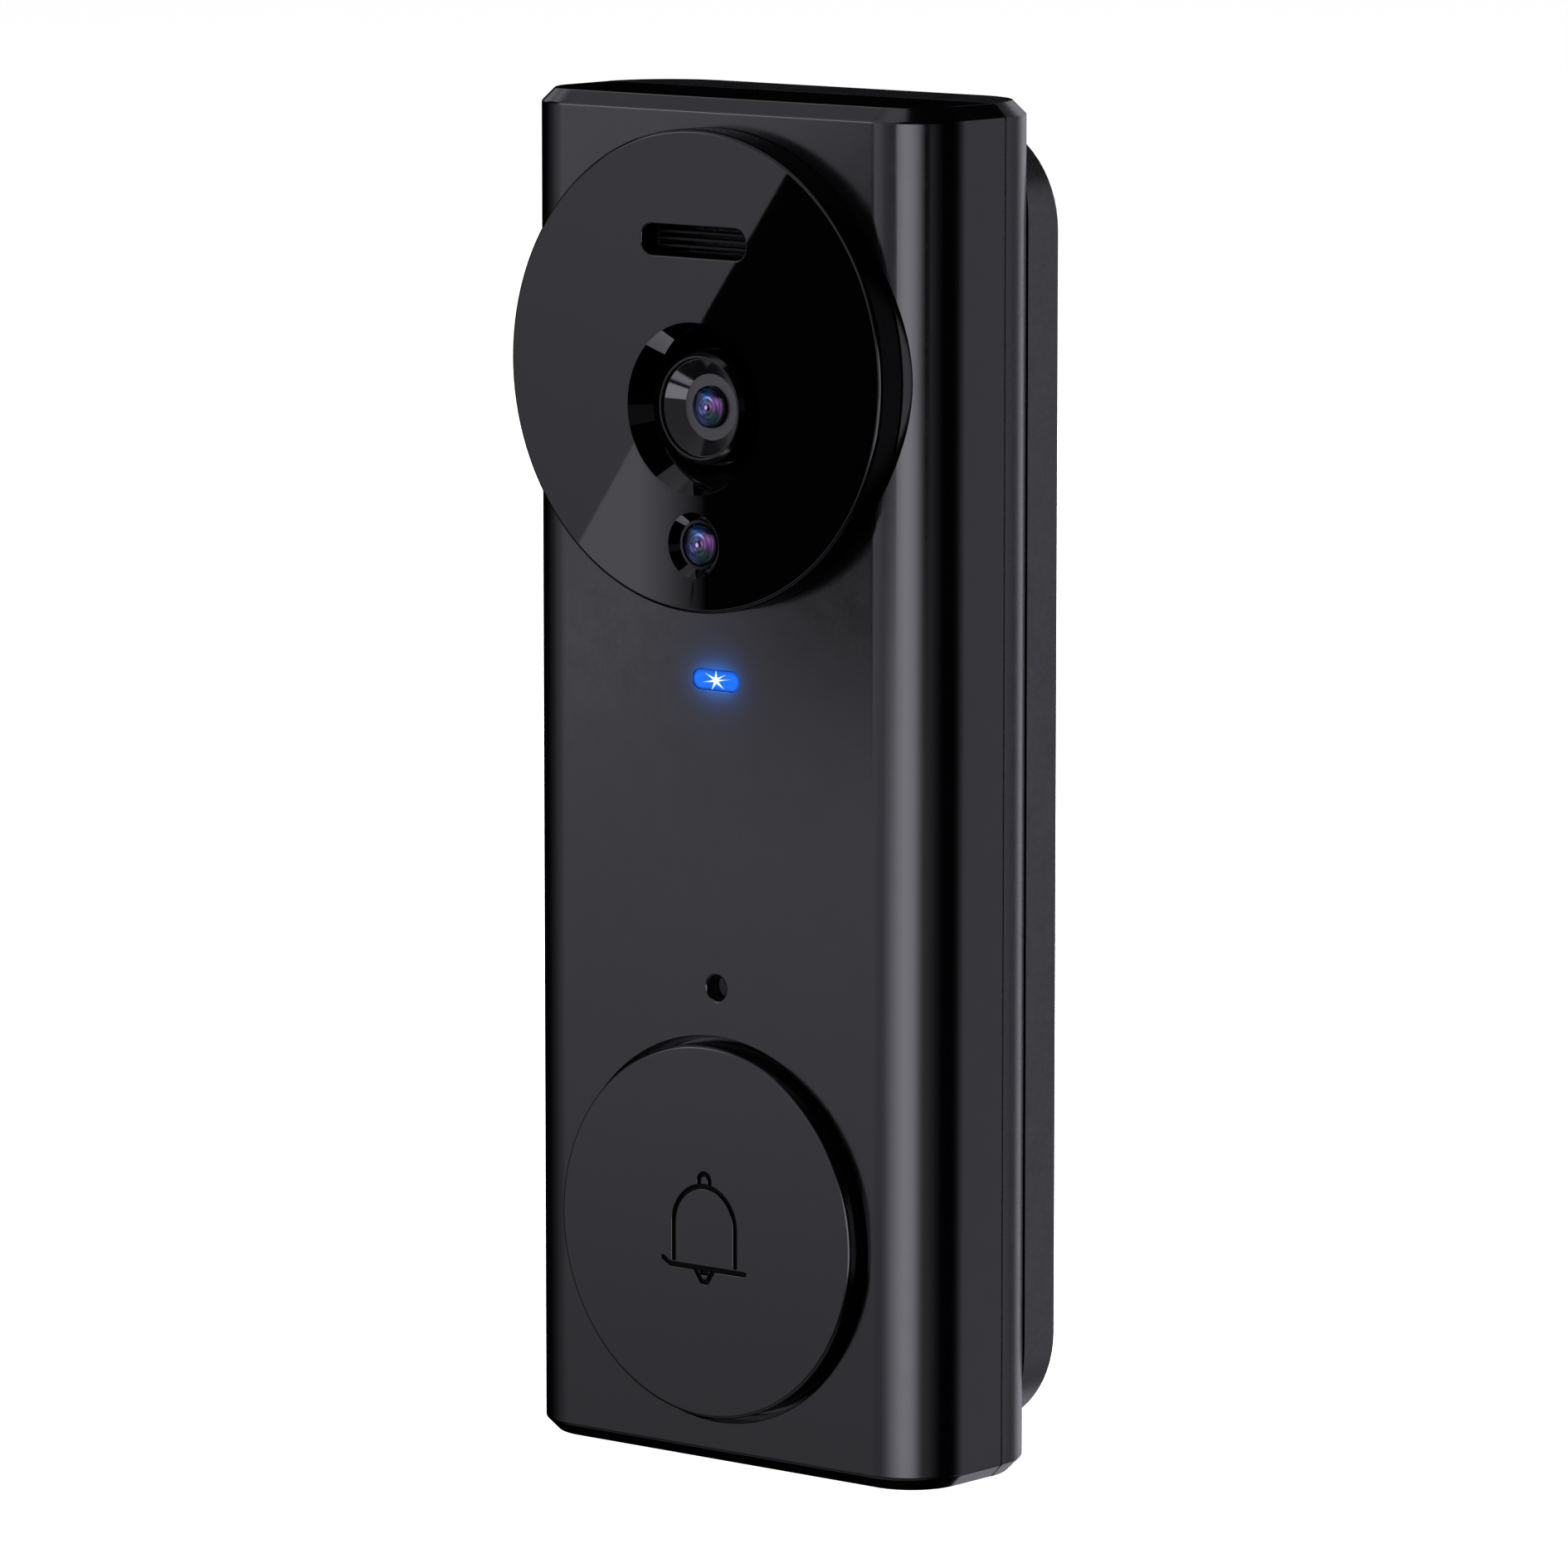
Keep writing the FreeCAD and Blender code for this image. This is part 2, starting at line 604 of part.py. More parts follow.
def wireless_module():
    return pad(13.0, 17.0, 0.5, (BOARD_BACK, BOARD_BACK + 1.5), -8.0, 1.0)


def aerial():
    """Stamped strip aerial that stands on two feet at the board's edge."""
    strip = block((-17.6, -17.3), (BOARD_FRONT - 3.0, BOARD_FRONT - 1.0), (-12.0, 8.0))
    feet = [block((-17.6, -17.3), (BOARD_FRONT - 1.5, BOARD_FRONT), (z, z + 1.5)) for z in (-12.0, -6.0)]
    return joined([strip] + feet)


def battery_connector():
    return pad(7.6, 4.6, 0.4, (BOARD_BACK, BOARD_BACK + 1.7), 10.0, -17.5)


def battery_pack():
    return pad(38.0, 78.0, 2.0, (CHASSIS_BACK + 0.2, INNER_BACK - 0.7), 0, -1.5)


def battery_foam():
    return pad(30.0, 66.0, 1.0, (INNER_BACK - 0.7, INNER_BACK), 0, -1.5)


def battery_leads():
    """Two leads that leave the foot of the pack, turn round the chassis and rise to the connector."""
    radius = 3.0
    foot = -40.5
    turn = foot - 2.5
    near = BOARD_BACK + 0.8
    solids = []
    for x in (9.2, 10.8):
        start = vec(x, near + 2 * radius, foot)
        turn_in = vec(x, near + 2 * radius, turn)
        turn_low = vec(x, near + radius, turn - radius)
        turn_out = vec(x, near, turn)
        down = Part.LineSegment(start, turn_in)
        bend = Part.Arc(turn_in, turn_low, turn_out)
        rise = Part.LineSegment(turn_out, vec(x, near, -19.8))
        path = Part.Wire([down.toShape(), bend.toShape(), rise.toShape()])
        section = Part.Wire(Part.makeCircle(0.5, start, vec(0, 0, 1)))
        solids.append(path.makePipeShell([section], True, True))
    return Part.makeCompound(solids)


def speaker_leads():
    """Two short leads from the speaker's lower edge to the camera board, each with one bend."""
    radius = 0.9
    near = BOARD_FRONT - 1.0
    low = 46.3
    middle = radius * math.sqrt(0.5)
    solids = []
    for x in (-9.4, 9.4):
        start = vec(x, near - radius, SLOT_Z - 7.5)
        bend_in = vec(x, near - radius, low + radius)
        bend_middle = vec(x, near - middle, low + radius - middle)
        bend_out = vec(x, near, low)
        down = Part.LineSegment(start, bend_in)
        bend = Part.Arc(bend_in, bend_middle, bend_out)
        inward = Part.LineSegment(bend_out, vec(x, BOARD_FRONT, low))
        path = Part.Wire([down.toShape(), bend.toShape(), inward.toShape()])
        section = Part.Wire(Part.makeCircle(0.35, start, vec(0, 0, 1)))
        solids.append(path.makePipeShell([section], True, True))
    return Part.makeCompound(solids)


def chassis():
    """Plate between the boards and the battery, with side lips and two stops behind the speaker."""
    y = (CHASSIS_FRONT, CHASSIS_BACK)
    plate = pad(47.0, 99.5, 2.0, y, 0, 8.25)
    lips = [block((x, x + 1.0), (CHASSIS_FRONT, -9.0), (-18.0, 34.0)) for x in (-20.3, 19.3)]
    stops = rods(1.6, (BOARD_FRONT - 0.3, CHASSIS_FRONT + 0.5), [(-8.0, SLOT_Z), (8.0, SLOT_Z)])
    plate = joined([plate] + lips + stops)
    for hole in rods(1.1, (y[0] - 0.1, y[1] + 0.1), CHASSIS_SCREWS):
        plate = plate.cut(hole)
    return plate


def screws(places, shank, head, tip, seat, cap):
    """Pan-head screws that point to -Y, each with a cross recess: depths of tip, seat and top of head."""
    solids = []
    for x, z in places:
        screw = joined([rod(shank, (tip, seat), x, z), rod(head, (seat, cap), x, z)])
        long = head * 0.6
        for half_x, half_z in ((long, 0.2), (0.2, long)):
            slot = block((x - half_x, x + half_x), (cap - 0.5, cap), (z - half_z, z + half_z))
            screw = screw.cut(slot)
        solids.append(screw)
    return Part.makeCompound(solids)


def shell_screws():
    return screws(SHELL_SCREWS, 0.95, 1.9, SEAM_Y - 3.0, -5.4, -4.2)


def chassis_screws():
    return screws(CHASSIS_SCREWS, 0.75, 1.6, CHASSIS_FRONT - 3.6, CHASSIS_BACK, CHASSIS_BACK + 1.0)


def board_screws():
    places = CAMERA_BOARD_SCREWS + MAIN_BOARD_SCREWS + BUTTON_BOARD_SCREWS
    return screws(places, 0.65, 1.3, BOARD_FRONT - 3.0, BOARD_BACK, BOARD_BACK + 0.9)


def wall_bracket():
    middle = (BRACKET_TOP + BRACKET_BOTTOM) / 2
    width = WIDTH - 2 * BRACKET_INSET
    plate = pad(width, BRACKET_TOP - BRACKET_BOTTOM, BRACKET_RADIUS, (-BRACKET_RIM, 0), 0, middle)
    plate = plate.cut(body_block(-GAP, -10.0))
    pieces = [plate]
    for x, z in HOOKS:
        across = (x - HOOK_WIDTH / 2, x + HOOK_WIDTH / 2)
        top = z + HOOK_STEM / 2
        pieces.append(block(across, (-6.1, PLATE_Y + 0.5), (z - HOOK_STEM / 2, top)))
        pieces.append(block(across, (-6.1, INNER_BACK - GAP), (top - 0.5, top + HOOK_LIP)))
    plate = joined(pieces)
    for x in (-15.0, 15.0):
        for z in (-33.0, 33.0):
            plate = plate.cut(pad(12.0, 56.0, 3.0, (-0.9, 0.1), x, z))
    for z in (-WALL_SCREW_Z, WALL_SCREW_Z):
        plate = plate.cut(rod(WALL_SCREW_RADIUS, (PLATE_Y - 0.1, 0.1), 0, z))
        sink = Part.makeCone(4.2, WALL_SCREW_RADIUS, 1.0, vec(0, PLATE_Y, z), vec(0, 1, 0))
        plate = plate.cut(sink)
    return plate


PARTS = [
    wall_bracket, front_shell, rear_shell, shell_gasket, camera_cover, cover_adhesive,
    speaker_grille, speaker_gasket, speaker, speaker_diaphragm, speaker_leads, lens_bezel,
    lens_barrel, lens_retainer, front_lens, lens_spacer, inner_lens, lens_holder, image_sensor,
    lower_bezel, lower_lens, lower_camera, camera_board, camera_ribbon, main_board, processor_can,
    wireless_module, aerial, battery_connector, battery_pack, battery_foam, battery_leads,
    button_board, button_ribbon, status_light_pipe, status_led, mic_mesh, mic_boot, microphone,
    bell_button, button_seal, button_spring, bell_switch, switch_plunger, usb_socket, usb_cover,
    usb_cover_pin, reset_button, reset_switch, chassis, shell_screws, chassis_screws, board_screws,
]


def main():
    os.makedirs("parts", exist_ok=True)
    for part in PARTS:
        shape = part()
        shape.exportStep("parts/" + part.__name__ + ".step")
        box = shape.BoundBox
        size = "%.2f x %.2f x %.2f" % (box.XLength, box.YLength, box.ZLength)
        print(part.__name__, size, "solids", len(shape.Solids), "valid", shape.isValid())


main()
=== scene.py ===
"""The looks of a battery video doorbell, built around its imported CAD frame.

Meshes are built in millimetres from the frame's own boxes, and are scaled to metres when placed.
The front faces -Y, +Z is up, and azimuths run from the front towards +X.
"""

import json
import math
from collections import namedtuple

import bmesh
import bpy
from mathutils import Matrix, Vector

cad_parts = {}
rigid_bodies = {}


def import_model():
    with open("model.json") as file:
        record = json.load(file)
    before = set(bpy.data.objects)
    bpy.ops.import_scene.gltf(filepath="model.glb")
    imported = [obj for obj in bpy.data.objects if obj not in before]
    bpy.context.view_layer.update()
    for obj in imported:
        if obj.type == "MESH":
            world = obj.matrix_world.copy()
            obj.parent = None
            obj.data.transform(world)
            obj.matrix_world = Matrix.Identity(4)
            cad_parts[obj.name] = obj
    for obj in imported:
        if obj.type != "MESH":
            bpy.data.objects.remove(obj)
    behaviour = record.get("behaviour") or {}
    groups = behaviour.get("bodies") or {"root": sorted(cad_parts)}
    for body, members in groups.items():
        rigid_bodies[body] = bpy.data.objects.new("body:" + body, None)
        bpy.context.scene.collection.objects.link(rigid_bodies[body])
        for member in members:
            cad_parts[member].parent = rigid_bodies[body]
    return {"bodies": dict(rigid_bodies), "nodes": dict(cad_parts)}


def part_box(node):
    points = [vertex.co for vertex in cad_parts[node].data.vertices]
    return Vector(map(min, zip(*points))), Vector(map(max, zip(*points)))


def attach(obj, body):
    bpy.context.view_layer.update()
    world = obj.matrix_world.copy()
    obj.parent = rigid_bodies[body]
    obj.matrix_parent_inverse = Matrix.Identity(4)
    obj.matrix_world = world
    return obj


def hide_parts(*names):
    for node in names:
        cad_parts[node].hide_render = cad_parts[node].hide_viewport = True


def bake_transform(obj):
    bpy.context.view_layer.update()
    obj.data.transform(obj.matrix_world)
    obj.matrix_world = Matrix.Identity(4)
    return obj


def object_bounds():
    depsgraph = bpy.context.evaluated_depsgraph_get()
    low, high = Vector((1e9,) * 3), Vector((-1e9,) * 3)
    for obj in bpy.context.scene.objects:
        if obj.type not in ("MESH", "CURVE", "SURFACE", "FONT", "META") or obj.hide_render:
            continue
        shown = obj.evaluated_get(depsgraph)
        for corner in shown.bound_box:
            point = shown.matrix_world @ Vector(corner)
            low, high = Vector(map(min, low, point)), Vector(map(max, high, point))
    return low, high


MM = 0.001

# Housing
FRONT_RADIUS = 6.8        # upright front edges
END_CHAMFER = 1.4         # round the top and the bottom
WALL = 2.0
SEAM_BEVEL = 0.12
EDGE_SOFTNESS = 0.45      # rounding of the chamfers' own edges
CORNER_STEPS = 28
RIM_EDGE = 0.09           # rounded rims of the openings in the front

# Camera cover and its lenses
COVER_EDGE = 0.42
SLOT_EDGE = 0.22
SLOT_GAPS = ((-1.12, 0.5), (-0.365, 0.42), (0.365, 0.42), (1.12, 0.5))      # height and width of each
SLOT_GAP_LENGTH = 12.6
SLOT_GAP_RIM = 0.05
SLOT_CORNER = 1.3
GRILLE_CORNER = 1.1
GRILLE_RIM = ((0.0, 0.0), (0.1, 0.05), (0.15, 0.15))    # growth and depth of its rounded rim
COVER_FACE_COSINE = 0.72  # faces turned further from the front are the disk's rim, which gets painted shade
FUNNEL_DEPTH = 2.95
FUNNEL_RIM = 0.24
FUNNEL_FOOT = 0.2
LENS_PART_SOFTNESS = 0.06
BARREL_WALL = 0.65
BARREL_BEVEL = 0.45
BARREL_LIP = 0.22
BARREL_REAR = (3.6, 4.45, 0.5)      # radius of its rear hole, bore inside, and thickness of the end
RETAINER_RING = (2.15, 3.36)        # flat ring at the foot of its cone
RETAINER_INSET = 0.2
RETAINER_DEPTH = 1.57
RETAINER_RIM = 0.1
RETAINER_SOFTNESS = 0.05
LENS_FLANGE = 1.35        # thickness
LENS_SPHERE = 6.0
LOWER_FUNNEL_DEPTH = 0.9
LOWER_FUNNEL_RIM = 0.34
LOWER_FUNNEL_FLOOR = 2.52

# Bell button
BUTTON_RADIUS = 19.25
BUTTON_EDGE = 0.34
BUTTON_SKIRT = 17.9       # inner radius
BUTTON_HUB = 2.4          # radius
BUTTON_FLANGE = 0.7
BUTTON_FACE = 1.6         # thickness
BUTTON_HUB_GAP = 0.25
SPRING_WIRE = 0.3
SPRING_TURNS = 5
ICON_STROKE = 0.48
ICON_DEPTH = 0.3
ICON_EDGE = 0.09
ICON_REACH = 8.0          # from the button's middle to past the bell's furthest point

# Openings in the housing
LIGHT_SIZE = (6.2, 2.1)
FLARE_CORE = 0.3          # half width of the painted lens flare's star between its rays
LIGHT_RIM = 0.08
LIGHT_EDGE = ((-0.2, 0.04), (-0.07, 0.08), (0.0, 0.18))       # growth and depth of its rounded front
LIGHT_FLANGE = 1.0
# painted lens flare of the status light: a thin glowing star just in front of it
PAINTED_FLARE_THICKNESS = 0.06
FLARE_RAYS = (            # across and up to the tip of each
    (0.0, 0.98), (1.38, 0.72), (2.1, 0.26), (1.1, -0.85), (-0.55, -0.98), (-2.0, -0.33), (-1.5, 0.68),
)
FLARE_REACH = 2.1         # where the painted flare's rays are bluest
GUIDE_COLOURS = ((0.0, (0.008, 0.17, 1.0)), (0.6, (0.01, 0.19, 1.0)), (0.85, (0.006, 0.12, 0.8)),
                 (1.0, (0.002, 0.04, 0.3)))
# glow of the painted lens flare, from its middle outwards
PAINTED_FLARE_COLOURS = ((0.0, (1.3, 1.3, 1.4)), (0.25, (1.1, 1.2, 1.4)), (0.6, (0.45, 0.72, 1.1)),
                (1.0, (0.12, 0.36, 1.0)))
BUTTON_HOLE_RADIUS = 20.0
MIC_HOLE_RADIUS = 1.25
MIC_HOLE_RIM = 0.3
MIC_HOLE_Z = -20.65
LENS_HOLE_INSET = 3.0     # of the shell's hole behind the lens bezel
LOWER_LENS_HOLE_RADIUS = 3.1
SPEAKER_HOLE = (11.0, 2.6, 0.8)     # width, height and corner
PORT_HINGE = 0.6          # from the left edge of the port's cover
PORT_SEAT_DEPTH = 1.2
PORT_GROOVE = (0.9, 1.5)            # half width and depth
PORT_NOTCH = (2.2, 0.6, 0.6)        # radius, how far past the cover, and depth
PORT_OPENING = (4.8, 1.9)           # half width and half height
RESET_HOLE_RADIUS = 1.55
PAST_WALL = 0.1           # cuts through a wall go this much further
PAST_SEAM = 6.0           # and the cavity this far behind the seam
FIT = 0.025
CLEAR = 0.01              # keeps two faces from lying in one plane
SEAT = 0.008              # between the camera cover and the rings that fill its holes
MOVING_GAP = 0.3

# Camera
CAMERA_PLACE = (0.632, -0.768, 0.138)
CAMERA_TARGET = (0.00137, -0.01567, -0.00048)
CAMERA_LENS = 222.7
SENSOR = 36.0

# Reflection of the studio in the camera cover: a dark flag below this line across its face
FLAG_TOP = (11.9, 63.4)
FLAG_FOOT = (-15.4, 24.1)
FLAG_BASE = 12.0
FLAG_CEILING = 74.0
FLAG_COLUMNS = ((-30.0, 2.3), (-7.3, 2.3), (1.6, 0.0), (20.0, 0.0), (60.0, 0.0))    # x and light
FLAG_DISTANCE = 0.5       # as a share of the camera's own distance

# Pieces that some of the softboxes are kept to, as flags would do
CONE = ("lens_retainer_cone",)
GLASS = ("front_lens_glass", "lower_lens_glass")
RINGS_AND_GLASS = ("lens_bezel_ring", "lens_barrel_tube", "lower_bezel_ring") + GLASS
LENS_PARTS = CONE + RINGS_AND_GLASS

# Plastics and rubbers; grain and mottle are the sizes of those features in millimetres
Plastic = namedtuple("Plastic", "colour roughness grain depth mottle specular coat",
                     defaults=(9.0, 0.5, 0.0))
PLASTICS = {
    "shell_gloss": Plastic((0.0006, 0.0006, 0.0007), 0.165, 0.1, 0.0003),
    "cover_gloss": Plastic((0.0004, 0.0004, 0.0005), 0.012, 0.3, 0.00003, mottle=20.0, specular=0.3),
    # darker, barely glossy copy of the cover's plastic: painted shade on the disk's rim and side wall
    "cover_rim_painted_shade": Plastic((0.0003, 0.0003, 0.0004), 0.3, 0.12, 0.0005, specular=0.04),
    "button_satin": Plastic((0.0006, 0.0006, 0.0007), 0.17, 0.09, 0.0003),
    "engraving": Plastic((0.0004, 0.0004, 0.0004), 0.6, 0.12, 0.001, specular=0.06),
    "rear_plastic": Plastic((0.005, 0.005, 0.0056), 0.26, 0.14, 0.0004, specular=0.68),
    "bracket_plastic": Plastic((0.006, 0.006, 0.0066), 0.3, 0.2, 0.002, specular=0.9),
    "grille_plastic": Plastic((0.0012, 0.0012, 0.0013), 0.5, 0.12, 0.002, specular=0.14),
    "barrel_black": Plastic((0.0008, 0.0008, 0.0009), 0.16, 0.08, 0.0006, specular=0.35),
    "retainer_satin": Plastic((0.003, 0.003, 0.0033), 0.1, 0.1, 0.0004, specular=0.3),
    "ring_satin": Plastic((0.007, 0.007, 0.0072), 0.3, 0.12, 0.002),
    "rubber_black": Plastic((0.01, 0.01, 0.01), 0.62, 0.15, 0.006),
    "seal_silicone": Plastic((0.01, 0.01, 0.011), 0.45, 0.2, 0.003),
    "chip_black": Plastic((0.012, 0.012, 0.013), 0.42, 0.1, 0.003),
    "foam_grey": Plastic((0.09, 0.09, 0.095), 0.95, 0.35, 0.12, mottle=2.0),
    "adhesive_white": Plastic((0.62, 0.62, 0.58), 0.55, 0.4, 0.02),
    "battery_wrap": Plastic((0.16, 0.2, 0.26), 0.28, 4.0, 0.08, coat=0.5),
    "lead_red": Plastic((0.45, 0.015, 0.012), 0.35, 0.3, 0.004),
    "connector_white": Plastic((0.68, 0.66, 0.6), 0.4, 0.15, 0.003),
    "chassis_grey": Plastic((0.13, 0.13, 0.14), 0.5, 0.15, 0.006),
    "led_white": Plastic((0.75, 0.74, 0.66), 0.3, 0.2, 0.002),
}
UNEVENNESS = 0.15         # of their colour and gloss

# Curved softboxes: (angle, share) stops around and upwards, strength, and the only pieces that
# reflect it or the pieces that don't
Softbox = namedtuple("Softbox", "name azimuths elevations strength only hidden", defaults=((), ()))
SOFTBOXES = (
    Softbox("left", ((-92, 0), (-85, 0.02), (-71, 0.13), (-53, 0.58), (-45, 0.9), (-38, 1.05),
                     (-30, 1.1), (-22, 0.9), (-12, 0.55), (0, 0.35), (26, 0)),
            ((-36, 0), (-24, 0.3), (-15, 0.6), (-8.5, 1), (-0.7, 1.3), (8, 1.5), (13, 1.5), (15, 0)), 1.0),
    Softbox("strip", ((-58, 0), (-53, 1), (-40, 1), (-34, 0.3), (5, 0.2), (25, 0)),
            ((14, 1), (26, 1), (30, 0)), 4.2, hidden=GLASS),
    Softbox("front", ((-25, 0), (-12, 0.25), (-3, 1.0), (12, 3.0), (26, 4.5), (40, 3.95), (48, 2.3),
                      (53, 1.15), (57, 0.55), (66, 0.45), (78, 0.16), (90, 0)),
            ((-20, 1), (4, 1), (10, 0)), 1.0, hidden=LENS_PARTS),
    Softbox("rear", ((112, 0), (120, 0.1), (134, 0.9), (141, 1.1), (148, 0.7), (156, 0.3), (165, 0.2),
                     (172, 0.6), (180, 1.5), (190, 1.4), (205, 0.8), (215, 0)),
            ((-45, 1), (30, 1)), 0.62),
    Softbox("high", ((-118, 1), (-92, 1), (-85, 0.5), (-70, 0.5), (-60, 1), (8, 1), (10, 0)),
            ((34, 0), (36, 1), (82, 1)), 0.95, hidden=CONE),
    Softbox("side", ((-120, 0.3), (-112, 1), (-96, 1)), ((12, 0.3), (18, 1), (34, 1)), 0.6),
    Softbox("bounce", ((-84, 0), (-74, 1), (70, 1), (84, 0)), ((-86, 1), (-50, 1), (-40, 0)), 0.4,
            hidden=LENS_PARTS),
    Softbox("under", ((-50, 1), (42, 1)), ((-82, 1), (-67, 1)), 2.8, only=RINGS_AND_GLASS),
    Softbox("patch", ((50, 1), (66, 1)), ((-2, 1), (18, 1)), 0.16, only=RINGS_AND_GLASS),
    Softbox("gleam", ((40, 1), (56, 1)), ((-43.5, 1), (-16, 1)), 6.4, only=CONE),
    Softbox("low", ((-84, 0.5), (-60, 0.6), (0, 0.9), (37, 1)), ((-66, 1), (-48, 1)), 4.6, only=CONE),
    Softbox("hood", ((-118, 0.8), (-60, 1), (66, 0.9)), ((-14, 1), (82, 1)), 0.6, only=CONE),
)
SOFTBOX_DISTANCE = 0.9

# Azimuth, elevation, distance, size and power
AREA_LIGHTS = {
    "key": (-30, 50, 1.0, 0.6, 9),
    "fill": (70, 30, 1.0, 0.6, 4),
    "back": (180, 40, 1.0, 0.8, 12),
}

# Blue glow on the housing round the status light
GLOW_SIZE = (5.0, 1.5)
GLOW_GAP = 1.3
GLOW_POWER = 0.055
GLOW_COLOUR = (0.02, 0.28, 1.0)

STUDIO_TINT = (0.975, 0.95, 1.075, 1)
BACKDROP_LIGHT = 1.1
BACKDROP_DISTANCE = 3.5
FLOOR_LIGHT = 0.97
FLOOR_REACH = 4.0
MARGIN = 1.0              # how far a cutting solid stands clear
SMOOTH_COSINE = math.cos(math.radians(32))
FLAT_COSINE = math.cos(math.radians(0.08))

Place = namedtuple("Place", "low high middle size")

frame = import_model()
cad_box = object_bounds()


def place(node):
    """Where a CAD node is at rest, in millimetres."""
    low, high = (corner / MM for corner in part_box(node))
    return Place(low, high, (low + high) / 2, high - low)


def linked(name, data):
    """New object in the scene."""
    item = bpy.data.objects.new(name, data)
    bpy.context.scene.collection.objects.link(item)
    return item


# ------
# Outlines

def arc(centre, radius, start, end, steps):
    """Points along part of a circle, from one angle in degrees to another."""
    x, y = centre
    angles = [math.radians(start + (end - start) * i / steps) for i in range(steps + 1)]
    return [Vector((x + radius * math.cos(angle), y + radius * math.sin(angle))) for angle in angles]


def circle(radius, x, z, steps=128):
    return arc((x, z), radius, 0, 360 - 360 / steps, steps - 1)


def pill(width, height, corner, z, steps=10):
    """Rounded rectangle on the object's middle line."""
    across, up = width / 2 - corner, height / 2 - corner
    points = []
    for start, side_x, side_z in ((0, 1, 1), (90, -1, 1), (180, -1, -1), (270, 1, -1)):
        points += arc((side_x * across, z + side_z * up), corner, start, start + 90, steps)
    return points


def rounded(points, radius, closed=True, steps=5):
    """The same outline with an arc at each corner; an open one keeps its two ends."""
    points = [Vector(point) for point in points]
    result = []
    for i, corner in enumerate(points):
        if not closed and i in (0, len(points) - 1):
            result.append(corner)
            continue
        before = points[i - 1] - corner
        after = points[(i + 1) % len(points)] - corner
        half = before.angle(after) / 2
        reach = min(radius / math.tan(half), 0.45 * before.length, 0.45 * after.length)
        size = reach * math.tan(half)
        inward = (before.normalized() + after.normalized()).normalized()
        centre = corner + inward * (size / math.sin(half))
        start = corner + before.normalized() * reach - centre
        end = corner + after.normalized() * reach - centre
        turn = -start.angle_signed(end)
        for step in range(steps + 1):
            result.append(centre + Matrix.Rotation(turn * step / steps, 2) @ start)
    return result


def widened(path, half):
    """Outline of an open path made half wide to each side, with round ends."""
    sides = ([], [])
    for i, point in enumerate(path):
        ahead = (path[min(i + 1, len(path) - 1)] - point).normalized()
        behind = (point - path[max(i - 1, 0)]).normalized()
        along = (ahead + behind).normalized()
        reach = half / max(along.dot(ahead if ahead.length else behind), 0.5)
        across = Vector((-along.y, along.x)) * reach
        sides[0].append(point + across)
        sides[1].append(point - across)
    caps = []
    for end, inner in ((path[-1], path[-2]), (path[0], path[1])):
        heading = math.degrees(math.atan2(end.y - inner.y, end.x - inner.x))
        caps.append(arc(end, half, heading + 90, heading - 90, 8)[1:-1])
    return sides[0] + caps[0] + sides[1][::-1] + caps[1]


# ------
# Solids

def at_depth(outline, y):
    return [Vector((point[0], y, point[1])) for point in outline]


def bands(rows, closed=False):
    """Faces between rows of equal length, as indices into the rows put end to end."""
    width = len(rows[0])
    sides = [(j, (j + 1) % width) for j in range(width if closed else width - 1)]
    return [(i * width + j, i * width + k, (i + 1) * width + k, (i + 1) * width + j)
            for i in range(len(rows) - 1) for j, k in sides]


def solid(loops, ring=False):
    """Closed mesh through loops of equal length; a ring joins its last loop to its first."""
    build = bmesh.new()
    rows = [[build.verts.new(point) for point in loop] for loop in loops]
    following = rows[1:] + rows[:1] if ring else rows[1:]
    for row, after in zip(rows, following):
        for i, corner in enumerate(row):
            build.faces.new((row[i - 1], corner, after[i], after[i - 1]))
    if not ring:
        build.faces.new(rows[0])
        build.faces.new(rows[-1])
    bmesh.ops.recalc_face_normals(build, faces=build.faces)
    mesh = bpy.data.meshes.new("solid")
    build.to_mesh(mesh)
    build.free()
    return mesh


def turned(profile, z, ring=True, steps=128):
    """Solid turned about a line along Y from (radius, depth) points."""
    return solid([at_depth(circle(radius, 0, z, steps), y) for radius, y in profile], ring)


def box_solid(x, y, z):
    """Box between the low and high values given for each axis."""
    corners = ((x[0], z[0]), (x[1], z[0]), (x[1], z[1]), (x[0], z[1]))
    return solid([at_depth(corners, depth) for depth in y])


def upright_rod(radius, x, y, ends):
    return solid([[Vector((point.x, point.y, z)) for point in circle(radius, x, y, 48)] for z in ends])


def opening(outline, front, back, edge=0.0):
    """Cutter for a hole whose front rim is rounded; outline gives the hole's loop grown by an amount."""
    loops = [at_depth(outline(edge), front - MARGIN)]
    for step in range(7 if edge else 0):
        angle = math.radians(15 * step)
        grow = edge * (1 - math.sin(angle))
        loops.append(at_depth(outline(grow), front + edge * (1 - math.cos(angle))))
    return solid(loops + [at_depth(outline(0), back)])


def round_hole(radius, z):
    return lambda grow: circle(radius + grow, 0, z)


def pill_hole(width, height, corner, z):
    return lambda grow: pill(width + 2 * grow, height + 2 * grow, corner + grow, z)


def combined(mesh, tools, operation="DIFFERENCE"):
    """Mesh after an exact boolean with each tool in turn."""
    for tool in tools:
        pair = [linked("work", data) for data in (mesh, tool)]
        modifier = pair[0].modifiers.new("boolean", "BOOLEAN")
        modifier.operation = operation
        modifier.solver = "EXACT"
        modifier.object = pair[1]
        graph = bpy.context.evaluated_depsgraph_get()
        mesh = bpy.data.meshes.new_from_object(pair[0].evaluated_get(graph))
        for item in pair:
            bpy.data.objects.remove(item)
    return mesh


